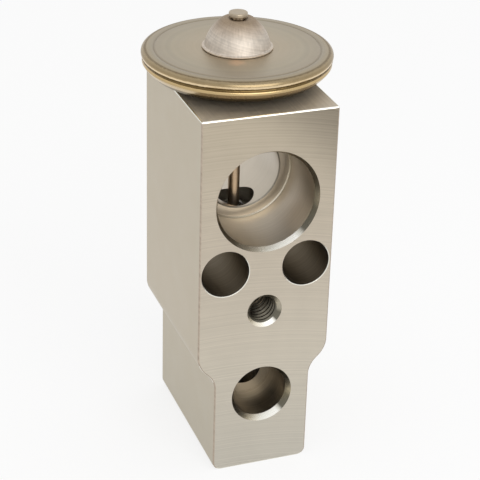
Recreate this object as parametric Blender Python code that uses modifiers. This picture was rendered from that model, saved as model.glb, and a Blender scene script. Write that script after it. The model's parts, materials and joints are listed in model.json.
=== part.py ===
"""Block-type thermostatic expansion valve, standing on its foot.

Metres, +Z up. The origin is on the valve axis, the line of the push rod, at the level of
the block's foot. The face with the line ports looks towards -Y, and the evaporator is at +Y.
"""

import math

import bmesh
import bpy

# Block, one length of stepped aluminium bar
BLOCK_WIDTH = 0.0254
BLOCK_DEPTH = 0.0322
BLOCK_HEIGHT = 0.0722
AXIS_FROM_FRONT = 0.0180
STEP_WIDTH = 0.00335
FOOT_CORNER_RADIUS = 0.0016
STEP_START_HEIGHT = 0.0181
STEP_HOLLOW_RADIUS = 0.0046
STEP_SHOULDER_RADIUS = 0.0050
STEP_ANGLE = math.radians(45)
EDGE_BREAK = 0.00025

# Suction passage, which crosses the block from front to back
SUCTION_BELOW_TOP = 0.0168
SUCTION_PORT_RADIUS = 0.0092
SUCTION_PASSAGE_RADIUS = 0.0073
SUCTION_FRONT_DEPTH = 0.0138
SUCTION_REAR_DEPTH = 0.0080
SUCTION_CHAMFER_WIDTH = 0.0006
SUCTION_CHAMFER_DEPTH = 0.0015
SUCTION_RELIEF_DEPTH = 0.0003
SUCTION_RELIEF_LENGTH = 0.0022

# Clearance holes for the two clamping bolts
BOLT_HOLE_RADIUS = 0.0045
BOLT_HOLE_SIDE_WALL = 0.0005
BOLTS_BELOW_SUCTION = 0.0133

# Tapped hole for the line flange's stud, drawn at its minor diameter
STUD_HOLE_RADIUS = 0.00255
STUD_BELOW_BOLTS = 0.0087
STUD_HOLE_DEPTH = 0.0120
STUD_CHAMFER_WIDTH = 0.0008
STUD_CHAMFER_DEPTH = 0.00085

# Liquid inlet on the front, and outlet to the evaporator on the back
INLET_HEIGHT = 0.0155
LIQUID_PORT_RADIUS = 0.0052
LIQUID_CHAMFER_WIDTH = 0.0007
LIQUID_CHAMFER_DEPTH = 0.0012
INLET_DEPTH = 0.0095
INLET_HOLE_RADIUS = 0.0033
OUTLET_PAST_AXIS = 0.0010
DRILL_HALF_ANGLE = math.radians(59)

# Valve chamber, seat ring and orifice
SEAT_ABOVE_INLET_HOLE = 0.0016
CHAMBER_RADIUS = 0.0052
SEAT_RING_RADIUS = 0.0034
SEAT_RING_THICKNESS = 0.0018
SEAT_CONE_WIDTH = 0.0010
ORIFICE_RADIUS = 0.0015
ORIFICE_LAND = 0.0013

# Push rod, its guide and its seal
ROD_RADIUS = 0.001075
ROD_EDGE = 0.0002
ROD_CLEARANCE = 0.00015
GUIDE_WALL = 0.0008
GUIDE_ABOVE_OUTLET = 0.0016
SEAL_RECESS_RADIUS = 0.0038
SEAL_RECESS_DROP = 0.0098
SEAL_POCKET_DEPTH = 0.0022
ROD_SEAL_CORD_RADIUS = 0.0006
SEAL_WASHER_THICKNESS = 0.0005
PUSH_NUT_THICKNESS = 0.00035
PUSH_NUT_RIM = 0.0011
PUSH_NUT_RISE = 0.0011
PUSH_NUT_TEETH = 6
PUSH_NUT_SLOT = 0.0007

# Ball, its carrier, the damping clip and the spring
BALL_RADIUS = 0.0024
CARRIER_CUP_RADIUS = 0.0026
CARRIER_CUP_WALL = 0.0004
CARRIER_CUP_FLOOR_RADIUS = 0.0009
CARRIER_FLANGE_RADIUS = 0.0039
CARRIER_FLANGE_THICKNESS = 0.0011
CARRIER_FLANGE_BELOW_RIM = 0.0013
CARRIER_STEM_RADIUS = 0.0023
CARRIER_STEM_LENGTH = 0.0019
CLIP_THICKNESS = 0.00025
CLIP_FINGER_HEIGHT = 0.0038
CLIP_WALL_CLEARANCE = 0.0002
CLIP_SLOT_WIDTH = 0.0016
CLIP_FINGER_COUNT = 8
SPRING_WIRE_RADIUS = 0.00045
SPRING_TURNS = 6
SPRING_END_GAP = 0.00014
SPRING_POINTS_PER_TURN = 12

# Adjusting nut at the bottom of the chamber, with its seal
NUT_RECESS = 0.0008
NUT_THREAD_RADIUS = 0.0060
NUT_THREAD_LENGTH = 0.0046
NUT_THREAD_EDGE = 0.0003
NUT_GROOVE_RADIUS = 0.0045
NUT_GROOVE_WIDTH = 0.0020
NUT_FLANGE_THICKNESS = 0.0009
NUT_SEAL_CORD_RADIUS = 0.0006
NUT_POCKET_DEPTH = 0.0022
NUT_BORE_ABOVE_NUT = 0.0003
HEX_ACROSS_FLATS = 0.0060
HEX_DEPTH = 0.0038
FOOT_CHAMFER = 0.0007

# Head, the sealed diaphragm case on top of the block
HEAD_RADIUS = 0.0173
HEAD_CLAMP_WIDTH = 0.0019
HEAD_SHEET = 0.0009
HEAD_FOOT_RADIUS = 0.0110
HEAD_DISH_HEIGHT = 0.0032
BASE_RIM_HEIGHT = 0.0006
BASE_RIM_EDGE = 0.0003
BASE_RIM_INSET = 0.0002
DISH_SHOULDER_INSET = 0.0008
DISH_SHOULDER_HEIGHT = 0.0022
DISH_WAIST_INSET = 0.0023
DISH_WAIST_HEIGHT = 0.0011
DISH_FLOOR_INSET = 0.00045
NECK_SIDE_WALL = 0.0040
NECK_WALL = 0.0016
NECK_LENGTH = 0.0059
NECK_EDGE = 0.0004
NECK_BORE_RUNOUT = 0.0005
SENSING_HOLE_RADIUS = 0.0055
HEAD_SEAL_CORD_RADIUS = 0.0008
DIAPHRAGM_THICKNESS = 0.00015
DIAPHRAGM_EDGE_INSET = 0.00048
DIAPHRAGM_WAVE = 0.00025
DIAPHRAGM_WAVES = 2
COVER_HEIGHT = 0.00155
COVER_EDGE_RADIUS = 0.0008
COVER_EDGE_SLOPE = 0.00015
COVER_EDGE_START = math.radians(85)
COVER_EDGE_END = math.radians(-40)
COVER_LIP_INSET = 0.00055
COVER_CEILING_INSET = 0.0003
COVER_RING_INSET = 0.0022
COVER_RING_WIDTH = 0.0002
COVER_RING_DEPTH = 0.0002
COVER_RING_STEP = 0.0001
STOP_PLATE_RADIUS = 0.0112
STOP_PLATE_THICKNESS = 0.0011
STOP_PLATE_EDGE = 0.00015
STOP_HUB_RADIUS = 0.0030
STOP_HUB_LENGTH = 0.0030

# Charging boss and its plug on top of the cover
BOSS_LIP_RADIUS = 0.0064
BOSS_LIP_HEIGHT = 0.0003
BOSS_SKIRT_RADIUS = 0.0060
BOSS_SHOULDER_RADIUS = 0.0055
BOSS_SHOULDER_HEIGHT = 0.0020
BOSS_CROWN_RADIUS = 0.0032
BOSS_CROWN_HEIGHT = 0.0050
BOSS_TOP_RADIUS = 0.0024
BOSS_TOP_HEIGHT = 0.0054
PLUG_NECK_RADIUS = 0.00115
PLUG_HEAD_RADIUS = 0.0017
PLUG_HEAD_THICKNESS = 0.00075
PLUG_HEAD_EDGE = 0.00012
PLUG_HEAD_GAP = 0.0003

# Clearances between neighbours
SEAT_GAP = 0.0002
SHEET_GAP = 0.0001
OVERCUT = 0.0010

# Angle between faces from which an edge is drawn sharp
SHARP_ANGLE = math.radians(25)

# Faces around turned shapes
LARGE_ROUND = 44
MEDIUM_ROUND = 36
SMALL_ROUND = 24
CORD_ROUND = 8
DIAPHRAGM_WAVE_STEPS = 5
PUSH_NUT_TOOTH_STEPS = 6
BALL_SEGMENTS = 20
BALL_RINGS = 12

# Levels and places that follow from the sizes above
FRONT_Y = -AXIS_FROM_FRONT
BACK_Y = BLOCK_DEPTH - AXIS_FROM_FRONT
SUCTION_HEIGHT = BLOCK_HEIGHT - SUCTION_BELOW_TOP
FOOT_WIDTH = BLOCK_WIDTH - 2 * STEP_WIDTH
BOLT_HEIGHT = SUCTION_HEIGHT - BOLTS_BELOW_SUCTION
BOLT_X = BLOCK_WIDTH / 2 - BOLT_HOLE_SIDE_WALL - BOLT_HOLE_RADIUS
STUD_HEIGHT = BOLT_HEIGHT - STUD_BELOW_BOLTS
CHAMBER_TOP = INLET_HEIGHT + INLET_HOLE_RADIUS + SEAT_ABOVE_INLET_HOLE
SEAT_TOP = CHAMBER_TOP + SEAT_RING_THICKNESS
OUTLET_HEIGHT = SEAT_TOP + SEAT_GAP + ORIFICE_LAND + LIQUID_PORT_RADIUS
RECESS_FLOOR = SUCTION_HEIGHT - SEAL_RECESS_DROP
POCKET_FLOOR = RECESS_FLOOR - SEAL_POCKET_DEPTH
GUIDE_TOP = POCKET_FLOOR - SHEET_GAP
GUIDE_SHELF = OUTLET_HEIGHT + LIQUID_PORT_RADIUS + GUIDE_ABOVE_OUTLET
GUIDE_BOTTOM = GUIDE_SHELF + SHEET_GAP
GUIDE_BORE = ROD_RADIUS + ROD_CLEARANCE
GUIDE_RADIUS = GUIDE_BORE + GUIDE_WALL
SEAL_BORE = ROD_RADIUS + SEAT_GAP
SEAL_POCKET_RADIUS = SEAL_BORE + 2 * ROD_SEAL_CORD_RADIUS + SHEET_GAP
SEAT_CONE_TOP = CHAMBER_TOP + SEAT_CONE_WIDTH
BALL_CONTACT = BALL_RADIUS * math.sin(math.radians(45))
BALL_HEIGHT = (
    SEAT_CONE_TOP + ORIFICE_RADIUS - 2 * BALL_CONTACT - SEAT_GAP / math.sin(math.radians(45))
)
CUP_CONE_LEVEL = BALL_HEIGHT - 2 * BALL_CONTACT - SEAT_GAP
CARRIER_RIM = CUP_CONE_LEVEL + CARRIER_CUP_RADIUS
CARRIER_FLANGE_TOP = CARRIER_RIM - CARRIER_FLANGE_BELOW_RIM
CARRIER_FLANGE_BOTTOM = CARRIER_FLANGE_TOP - CARRIER_FLANGE_THICKNESS
CLIP_TOP = CARRIER_FLANGE_BOTTOM - SHEET_GAP
CLIP_BOTTOM = CLIP_TOP - CLIP_THICKNESS
CLIP_RADIUS = CHAMBER_RADIUS - CLIP_WALL_CLEARANCE
SPRING_TOP = CLIP_BOTTOM - SHEET_GAP
SPRING_RADIUS = CARRIER_STEM_RADIUS + SEAT_GAP + SPRING_WIRE_RADIUS
NUT_THREAD_TOP = NUT_RECESS + NUT_THREAD_LENGTH
NUT_GROOVE_TOP = NUT_THREAD_TOP + NUT_GROOVE_WIDTH
NUT_TOP = NUT_GROOVE_TOP + NUT_FLANGE_THICKNESS
NUT_POCKET_FLOOR = NUT_TOP - NUT_POCKET_DEPTH
NUT_POCKET_RADIUS = SPRING_RADIUS + SPRING_WIRE_RADIUS + SEAT_GAP
SPRING_BOTTOM = NUT_POCKET_FLOOR + SHEET_GAP
NUT_SEAL_BORE = NUT_GROOVE_RADIUS + 2 * (NUT_SEAL_CORD_RADIUS + SHEET_GAP)
NUT_FLANGE_RADIUS = NUT_SEAL_BORE - SEAT_GAP
NUT_SEAL_BORE_BOTTOM = NUT_THREAD_TOP + NUT_GROOVE_WIDTH / 2 - NUT_SEAL_CORD_RADIUS - SHEET_GAP
NUT_SEAL_BORE_TOP = NUT_TOP + NUT_BORE_ABOVE_NUT
DISH_BOTTOM = BLOCK_HEIGHT + SHEET_GAP
DISH_RIM = DISH_BOTTOM + HEAD_DISH_HEIGHT
CLAMP_LEVEL = DISH_RIM + BASE_RIM_HEIGHT
CLAMP_INNER_RADIUS = HEAD_RADIUS - HEAD_CLAMP_WIDTH
DIAPHRAGM_LEVEL = CLAMP_LEVEL + SHEET_GAP + DIAPHRAGM_THICKNESS / 2
COVER_RIM_LEVEL = DIAPHRAGM_LEVEL + DIAPHRAGM_THICKNESS / 2 + SHEET_GAP
COVER_TOP = COVER_RIM_LEVEL + COVER_HEIGHT
NECK_BOTTOM = DISH_BOTTOM - NECK_LENGTH
NECK_RADIUS = BLOCK_WIDTH / 2 - NECK_SIDE_WALL
NECK_BORE = NECK_RADIUS - NECK_WALL
NECK_HOLE_RADIUS = NECK_RADIUS + SEAT_GAP
HEAD_SEAL_RADIUS = NECK_HOLE_RADIUS + HEAD_SEAL_CORD_RADIUS + SHEET_GAP
SEAL_COUNTERBORE_RADIUS = HEAD_SEAL_RADIUS + HEAD_SEAL_CORD_RADIUS + SHEET_GAP
SEAL_COUNTERBORE_FLOOR = DISH_BOTTOM - 2 * (HEAD_SEAL_CORD_RADIUS + SHEET_GAP)
STOP_PLATE_TOP = DIAPHRAGM_LEVEL - DIAPHRAGM_THICKNESS / 2 - DIAPHRAGM_WAVE - SHEET_GAP
STOP_PLATE_BOTTOM = STOP_PLATE_TOP - STOP_PLATE_THICKNESS
STOP_HUB_BOTTOM = STOP_PLATE_BOTTOM - STOP_HUB_LENGTH
ROD_TOP = STOP_PLATE_BOTTOM - SHEET_GAP
ROD_BOTTOM = BALL_HEIGHT + BALL_RADIUS + SHEET_GAP
BOSS_BOTTOM = COVER_TOP + SHEET_GAP
PLUG_HOLE = PLUG_NECK_RADIUS + SHEET_GAP
PLUG_HEAD_BOTTOM = BOSS_BOTTOM + BOSS_TOP_HEIGHT + PLUG_HEAD_GAP
PLUG_TOP = PLUG_HEAD_BOTTOM + PLUG_HEAD_THICKNESS
PLUG_BOTTOM = COVER_TOP - HEAD_SHEET

ALUMINIUM = ("aluminium", (0.66, 0.63, 0.58), 0.38, 1.0)
HEAD_STEEL = ("head_steel", (0.55, 0.50, 0.43), 0.32, 1.0)
RIM_STEEL = ("heat_tinted_steel", (0.62, 0.47, 0.28), 0.28, 1.0)
SOLDER = ("solder", (0.74, 0.72, 0.69), 0.25, 1.0)
BRIGHT_STEEL = ("bright_steel", (0.62, 0.60, 0.58), 0.22, 1.0)
SPRING_STEEL = ("spring_steel", (0.42, 0.42, 0.43), 0.30, 1.0)
BRASS = ("brass", (0.71, 0.54, 0.27), 0.30, 1.0)
RUBBER = ("seal_rubber", (0.02, 0.03, 0.025), 0.60, 0.0)


def clear_scene():
    """Removes whatever the scene holds."""
    for obj in list(bpy.data.objects):
        bpy.data.objects.remove(obj, do_unlink=True)


def new_collection(name):
    """Adds a collection of this name to the scene."""
    collection = bpy.data.collections.new(name)
    bpy.context.scene.collection.children.link(collection)
    return collection


def principled(finish):
    """Makes a Principled material from a name, a colour, a roughness and a metallic value."""
    name, colour, roughness, metallic = finish
    material = bpy.data.materials.new(name)
    material.use_nodes = True
    shader = material.node_tree.nodes["Principled BSDF"]
    shader.inputs["Base Color"].default_value = (*colour, 1.0)
    shader.inputs["Roughness"].default_value = roughness
    shader.inputs["Metallic"].default_value = metallic
    return material


def finish_part(obj, finish):
    """Gives a part a material of its own, smooth faces and sharp edges where it turns."""
    obj.data.materials.clear()
    obj.data.materials.append(principled(finish))
    obj.data.shade_smooth()
    obj.data.set_sharp_from_angle(angle=SHARP_ANGLE)
    return obj


def make_cutter(obj):
    """Marks an object as a helper that only cuts."""
    obj.hide_render = True
    obj.display_type = "WIRE"
    return obj


def link_mesh(name, mesh, collection):
    """Puts a mesh in the scene as an object."""
    obj = bpy.data.objects.new(name, mesh)
    collection.objects.link(obj)
    return obj


def turned(name, outline, collection, steps, ring=False):
    """Turns an outline of (radius, height) points about Z.

    The outline runs down its outer side. It starts and ends on the axis, or with ring it
    closes on itself away from the axis.
    """
    mesh = bpy.data.meshes.new(name)
    points = [(radius, 0.0, height) for radius, height in outline]
    edges = [(i, i + 1) for i in range(len(points) - 1)]
    if ring:
        edges.append((len(points) - 1, 0))
    mesh.from_pydata(points, edges, [])
    obj = link_mesh(name, mesh, collection)
    screw = obj.modifiers.new("turn", "SCREW")
    screw.steps = steps
    screw.render_steps = steps
    screw.use_merge_vertices = True
    screw.merge_threshold = 0.000001
    return obj


def arc(centre, radius, start, end, steps):
    """Points on an arc, from one angle to another, in radians."""
    angles = [start + (end - start) * i / steps for i in range(steps + 1)]
    return [
        (centre[0] + radius * math.cos(angle), centre[1] + radius * math.sin(angle))
        for angle in angles
    ]


def dish_curve(foot, rim, steps):
    """Quarter ellipse from a point on the rim, where it is upright, down to the flat foot."""
    width = rim[0] - foot[0]
    height = rim[1] - foot[1]
    points = []
    for i in range(steps + 1):
        angle = math.pi / 2 * (1 - i / steps)
        points.append(
            (foot[0] + width * math.sin(angle), foot[1] + height * (1 - math.cos(angle)))
        )
    return points


def smooth_through(points, spans):
    """A Catmull-Rom curve through the points, with this many spans between neighbours."""
    padded = [points[0], *points, points[-1]]
    curve = []
    for i in range(1, len(padded) - 2):
        before, start, end, after = padded[i - 1 : i + 3]
        for step in range(spans):
            t = step / spans
            curve.append(
                tuple(
                    0.5
                    * (
                        2 * b
                        + (c - a) * t
                        + (2 * a - 5 * b + 4 * c - d) * t**2
                        + (3 * b - a - 3 * c + d) * t**3
                    )
                    for a, b, c, d in zip(before, start, end, after)
                )
            )
    curve.append(points[-1])
    return curve


def cut(target, cutter):
    """Cuts one object with another."""
    boolean = target.modifiers.new("cut", "BOOLEAN")
    boolean.operation = "DIFFERENCE"
    boolean.object = cutter
    return target


def curve_to_mesh(obj, collection):
    """Replaces a curve object with its mesh, with the caps welded to the sides."""
    name = obj.name
    graph = bpy.context.evaluated_depsgraph_get()
    mesh = bpy.data.meshes.new_from_object(obj.evaluated_get(graph))
    matrix = obj.matrix_world.copy()
    bpy.data.objects.remove(obj, do_unlink=True)
    shell = bmesh.new()
    shell.from_mesh(mesh)
    bmesh.ops.remove_doubles(shell, verts=shell.verts, dist=0.000001)
    bmesh.ops.recalc_face_normals(shell, faces=shell.faces)
    shell.to_mesh(mesh)
    shell.free()
    made = link_mesh(name, mesh, collection)
    made.matrix_world = matrix
    made.name = name
    return made


def box(name, low, high, collection):
    """A box between two corners."""
    shell = bmesh.new()
    bmesh.ops.create_cube(shell, size=1.0)
    for vertex in shell.verts:
        for axis in range(3):
            middle = (low[axis] + high[axis]) / 2
            vertex.co[axis] = middle + vertex.co[axis] * (high[axis] - low[axis])
    mesh = bpy.data.meshes.new(name)
    shell.to_mesh(mesh)
    shell.free()
    return link_mesh(name, mesh, collection)


def cord_ring(name, radius, cord_radius, height, collection, steps):
    """A sealing ring of round cord, centred on the valve axis."""
    outline = arc((radius, height), cord_radius, math.pi / 2, -3 * math.pi / 2, CORD_ROUND)[:-1]
    return turned(name, outline, collection, steps, ring=True)


def port_mouth(radius, chamfer_width, chamfer_depth, face):
    """The first points of a port's outline, from its axis through its chamfered mouth."""
    flare = chamfer_width * (chamfer_depth + OVERCUT) / chamfer_depth
    return [
        (0.0, face + OVERCUT),
        (radius + flare, face + OVERCUT),
        (radius, face - chamfer_depth),
    ]


def face_forward(cutter, height):
    """Lays a turned cutter along Y with its mouth at the front."""
    cutter.rotation_euler = (math.pi / 2, 0.0, 0.0)
    cutter.location = (0.0, 0.0, height)
    return make_cutter(cutter)


def face_back(cutter, height):
    """Lays a turned cutter along Y with its mouth at the back."""
    cutter.rotation_euler = (-math.pi / 2, 0.0, 0.0)
    cutter.location = (0.0, 0.0, height)
    return make_cutter(cutter)


def block_outline():
    """The bar's section, seen from the front: its right side, then the left one mirrored."""
    half_width = BLOCK_WIDTH / 2
    half_foot = FOOT_WIDTH / 2
    hollow_centre = (half_foot + STEP_HOLLOW_RADIUS, STEP_START_HEIGHT)
    hollow = arc(hollow_centre, STEP_HOLLOW_RADIUS, math.pi, math.pi - STEP_ANGLE, 6)
    slope_start = hollow[-1]
    shoulder_x = half_width - STEP_SHOULDER_RADIUS
    slope_end_x = shoulder_x + STEP_SHOULDER_RADIUS * math.cos(STEP_ANGLE)
    slope_end_z = slope_start[1] + (slope_end_x - slope_start[0]) / math.tan(STEP_ANGLE)
    shoulder_centre = (
        shoulder_x,
        slope_end_z + STEP_SHOULDER_RADIUS * math.sin(STEP_ANGLE),
    )
    shoulder = arc(shoulder_centre, STEP_SHOULDER_RADIUS, -STEP_ANGLE, 0.0, 6)
    corner_centre = (half_foot - FOOT_CORNER_RADIUS, FOOT_CORNER_RADIUS)
    corner = arc(corner_centre, FOOT_CORNER_RADIUS, -math.pi / 2, 0.0, 5)
    right = [*corner, *hollow, *shoulder, (half_width, BLOCK_HEIGHT)]
    left = [(-x, z) for x, z in reversed(right)]
    return right + left


def bar(collection):
    """The bar's section drawn as a flat curve and extruded through the block's depth."""
    curve = bpy.data.curves.new("valve_block", "CURVE")
    curve.dimensions = "2D"
    curve.fill_mode = "BOTH"
    curve.extrude = BLOCK_DEPTH / 2
    outline = block_outline()
    spline = curve.splines.new("POLY")
    spline.points.add(len(outline) - 1)
    for point, (x, z) in zip(spline.points, outline):
        point.co = (x, z, 0.0, 1.0)
    spline.use_cyclic_u = True
    obj = bpy.data.objects.new("valve_block", curve)
    obj.rotation_euler = (math.pi / 2, 0.0, 0.0)
    obj.location = (0.0, (FRONT_Y + BACK_Y) / 2, 0.0)
    collection.objects.link(obj)
    bpy.context.view_layer.update()
    return curve_to_mesh(obj, collection)


def suction_cutter(collection):
    """The suction passage: a deep stepped port in front, a shorter one behind."""
    front = AXIS_FROM_FRONT
    shoulder = front - SUCTION_FRONT_DEPTH
    relief = SUCTION_PORT_RADIUS + SUCTION_RELIEF_DEPTH
    mouth = port_mouth(SUCTION_PORT_RADIUS, SUCTION_CHAMFER_WIDTH, SUCTION_CHAMFER_DEPTH, front)
    rear_mouth = port_mouth(
        SUCTION_PORT_RADIUS, SUCTION_CHAMFER_WIDTH, SUCTION_CHAMFER_DEPTH, BACK_Y
    )
    outline = [
        *mouth,
        (SUCTION_PORT_RADIUS, shoulder + SUCTION_RELIEF_LENGTH),
        (relief, shoulder + SUCTION_RELIEF_LENGTH - SUCTION_RELIEF_DEPTH),
        (relief, shoulder),
        (SUCTION_PASSAGE_RADIUS, shoulder),
        (SUCTION_PASSAGE_RADIUS, SUCTION_REAR_DEPTH - BACK_Y),
        (SUCTION_PORT_RADIUS, SUCTION_REAR_DEPTH - BACK_Y),
        *[(radius, -y) for radius, y in reversed(rear_mouth)],
    ]
    cutter = turned("suction_cutter", outline, collection, LARGE_ROUND)
    return face_forward(cutter, SUCTION_HEIGHT)


def inlet_cutter(collection):
    """The liquid inlet: a port for the line's end and a smaller hole into the chamber."""
    floor = AXIS_FROM_FRONT - INLET_DEPTH
    mouth = port_mouth(
        LIQUID_PORT_RADIUS, LIQUID_CHAMFER_WIDTH, LIQUID_CHAMFER_DEPTH, AXIS_FROM_FRONT
    )
    outline = [
        *mouth,
        (LIQUID_PORT_RADIUS, floor),
        (INLET_HOLE_RADIUS, floor),
        (INLET_HOLE_RADIUS, 0.0),
        (0.0, 0.0),
    ]
    cutter = turned("inlet_cutter", outline, collection, MEDIUM_ROUND)
    return face_forward(cutter, INLET_HEIGHT)


def outlet_cutter(collection):
    """The outlet to the evaporator, drilled from the back past the push rod."""
    tip = LIQUID_PORT_RADIUS / math.tan(DRILL_HALF_ANGLE)
    mouth = port_mouth(LIQUID_PORT_RADIUS, LIQUID_CHAMFER_WIDTH, LIQUID_CHAMFER_DEPTH, BACK_Y)
    outline = [
        *mouth,
        (LIQUID_PORT_RADIUS, -OUTLET_PAST_AXIS),
        (0.0, -OUTLET_PAST_AXIS - tip),
    ]
    cutter = turned("outlet_cutter", outline, collection, MEDIUM_ROUND)
    return face_back(cutter, OUTLET_HEIGHT)


def stud_cutter(collection):
    """The tapped hole between the ports, with a drill tip."""
    floor = AXIS_FROM_FRONT - STUD_HOLE_DEPTH
    mouth = port_mouth(STUD_HOLE_RADIUS, STUD_CHAMFER_WIDTH, STUD_CHAMFER_DEPTH, AXIS_FROM_FRONT)
    outline = [
        *mouth,
        (STUD_HOLE_RADIUS, floor),
        (0.0, floor - STUD_HOLE_RADIUS / math.tan(DRILL_HALF_ANGLE)),
    ]
    cutter = turned("stud_cutter", outline, collection, SMALL_ROUND)
    return face_forward(cutter, STUD_HEIGHT)


def bolt_cutter(name, x, collection):
    """A plain hole right through the block for a clamping bolt."""
    front = AXIS_FROM_FRONT + OVERCUT
    back = -BACK_Y - OVERCUT
    outline = [(0.0, front), (BOLT_HOLE_RADIUS, front), (BOLT_HOLE_RADIUS, back), (0.0, back)]
    cutter = face_forward(turned(name, outline, collection, MEDIUM_ROUND), BOLT_HEIGHT)
    cutter.location.x = x
    return cutter


def head_bore_cutter(collection):
    """The threaded hole for the head, opening through a smaller hole into the suction passage."""
    floor = NECK_BOTTOM - NECK_BORE_RUNOUT
    outline = [
        (0.0, BLOCK_HEIGHT + OVERCUT),
        (SEAL_COUNTERBORE_RADIUS, BLOCK_HEIGHT + OVERCUT),
        (SEAL_COUNTERBORE_RADIUS, SEAL_COUNTERBORE_FLOOR),
        (NECK_HOLE_RADIUS, SEAL_COUNTERBORE_FLOOR),
        (NECK_HOLE_RADIUS, floor),
        (SENSING_HOLE_RADIUS, floor),
        (SENSING_HOLE_RADIUS, SUCTION_HEIGHT),
        (0.0, SUCTION_HEIGHT),
    ]
    return make_cutter(turned("head_bore_cutter", outline, collection, LARGE_ROUND))


def rod_bore_cutter(collection):
    """The rod's own hole: seal recess and pocket, guide bore and running hole."""
    guide_bore = GUIDE_RADIUS + SHEET_GAP
    running = ROD_RADIUS + SEAT_GAP
    outline = [
        (0.0, SUCTION_HEIGHT),
        (SEAL_RECESS_RADIUS, SUCTION_HEIGHT),
        (SEAL_RECESS_RADIUS, RECESS_FLOOR),
        (SEAL_POCKET_RADIUS, RECESS_FLOOR),
        (SEAL_POCKET_RADIUS, POCKET_FLOOR),
        (guide_bore, POCKET_FLOOR),
        (guide_bore, GUIDE_SHELF),
        (running, GUIDE_SHELF),
        (running, SEAT_TOP),
        (0.0, SEAT_TOP),
    ]
    return make_cutter(turned("rod_bore_cutter", outline, collection, SMALL_ROUND))


def chamber_cutter(collection):
    """Everything bored from the foot: nut thread, seal bore, valve chamber, seat and orifice."""
    seat_bore = SEAT_RING_RADIUS + SHEET_GAP
    orifice = ORIFICE_RADIUS + SEAT_GAP
    nut_bore = NUT_THREAD_RADIUS + SEAT_GAP
    outline = [
        (0.0, OUTLET_HEIGHT),
        (orifice, OUTLET_HEIGHT),
        (orifice, SEAT_TOP + SHEET_GAP),
        (seat_bore, SEAT_TOP + SHEET_GAP),
        (seat_bore, CHAMBER_TOP),
        (CHAMBER_RADIUS, CHAMBER_TOP),
        (CHAMBER_RADIUS, NUT_SEAL_BORE_TOP),
        (NUT_SEAL_BORE, NUT_SEAL_BORE_TOP),
        (NUT_SEAL_BORE, NUT_SEAL_BORE_BOTTOM),
        (nut_bore, NUT_SEAL_BORE_BOTTOM),
        (nut_bore, FOOT_CHAMFER),
        (nut_bore + FOOT_CHAMFER + OVERCUT, -OVERCUT),
        (0.0, -OVERCUT),
    ]
    return make_cutter(turned("chamber_cutter", outline, collection, MEDIUM_ROUND))


def valve_block(parts, cutters):
    """The machined block, with its outer edges broken before the bores are cut."""
    block = bar(parts)
    bevel = block.modifiers.new("edge_break", "BEVEL")
    bevel.width = EDGE_BREAK
    bevel.segments = 1
    bevel.limit_method = "ANGLE"
    bevel.angle_limit = math.radians(40)
    cut(block, suction_cutter(cutters))
    cut(block, inlet_cutter(cutters))
    cut(block, outlet_cutter(cutters))
    cut(block, stud_cutter(cutters))
    cut(block, bolt_cutter("bolt_cutter_left", -BOLT_X, cutters))
    cut(block, bolt_cutter("bolt_cutter_right", BOLT_X, cutters))
    cut(block, head_bore_cutter(cutters))
    cut(block, rod_bore_cutter(cutters))
    cut(block, chamber_cutter(cutters))
    return finish_part(block, ALUMINIUM)


def head_base(parts):
    """The head's lower half: a pressed dish with a clamping rim and a threaded neck."""
    rim_radius = HEAD_RADIUS - BASE_RIM_INSET
    outer = smooth_through(
        [
            (rim_radius, DISH_RIM),
            (rim_radius - DISH_SHOULDER_INSET, DISH_BOTTOM + DISH_SHOULDER_HEIGHT),
            (rim_radius - DISH_WAIST_INSET, DISH_BOTTOM + DISH_WAIST_HEIGHT),
            (HEAD_FOOT_RADIUS, DISH_BOTTOM),
        ],
        2,
    )
    inner_foot = (HEAD_FOOT_RADIUS - DISH_FLOOR_INSET, DISH_BOTTOM + HEAD_SHEET)
    inner = dish_curve(inner_foot, (CLAMP_INNER_RADIUS, DISH_RIM), 3)
    outline = [
        (rim_radius - BASE_RIM_EDGE, CLAMP_LEVEL),
        (rim_radius, CLAMP_LEVEL - BASE_RIM_EDGE),
        *outer,
        (NECK_RADIUS, DISH_BOTTOM),
        (NECK_RADIUS, NECK_BOTTOM + NECK_EDGE),
        (NECK_RADIUS - NECK_EDGE, NECK_BOTTOM),
        (NECK_BORE, NECK_BOTTOM),
        (NECK_BORE, DISH_BOTTOM + HEAD_SHEET),
        *reversed(inner),
        (CLAMP_INNER_RADIUS, CLAMP_LEVEL),
    ]
    base = turned("head_base", outline, parts, LARGE_ROUND, ring=True)
    return finish_part(base, RIM_STEEL)


def diaphragm(parts):
    """A thin steel disc with two ripples between its flat middle and its clamped edge."""
    edge = HEAD_RADIUS - DIAPHRAGM_EDGE_INSET
    start = STOP_PLATE_RADIUS
    steps = DIAPHRAGM_WAVE_STEPS * DIAPHRAGM_WAVES
    ripples = []
    for i in range(steps + 1):
        share = i / steps
        phase = 2 * math.pi * DIAPHRAGM_WAVES * share
        radius = CLAMP_INNER_RADIUS + (start - CLAMP_INNER_RADIUS) * share
        ripples.append((radius, DIAPHRAGM_LEVEL - DIAPHRAGM_WAVE / 2 * (1 - math.cos(phase))))
    outline = [(0.0, DIAPHRAGM_LEVEL), *reversed(ripples), (edge, DIAPHRAGM_LEVEL)]
    disc = turned("diaphragm", outline, parts, MEDIUM_ROUND)
    sheet = disc.modifiers.new("sheet", "SOLIDIFY")
    sheet.thickness = DIAPHRAGM_THICKNESS
    sheet.offset = 0.0
    return finish_part(disc, BRIGHT_STEEL)


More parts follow.
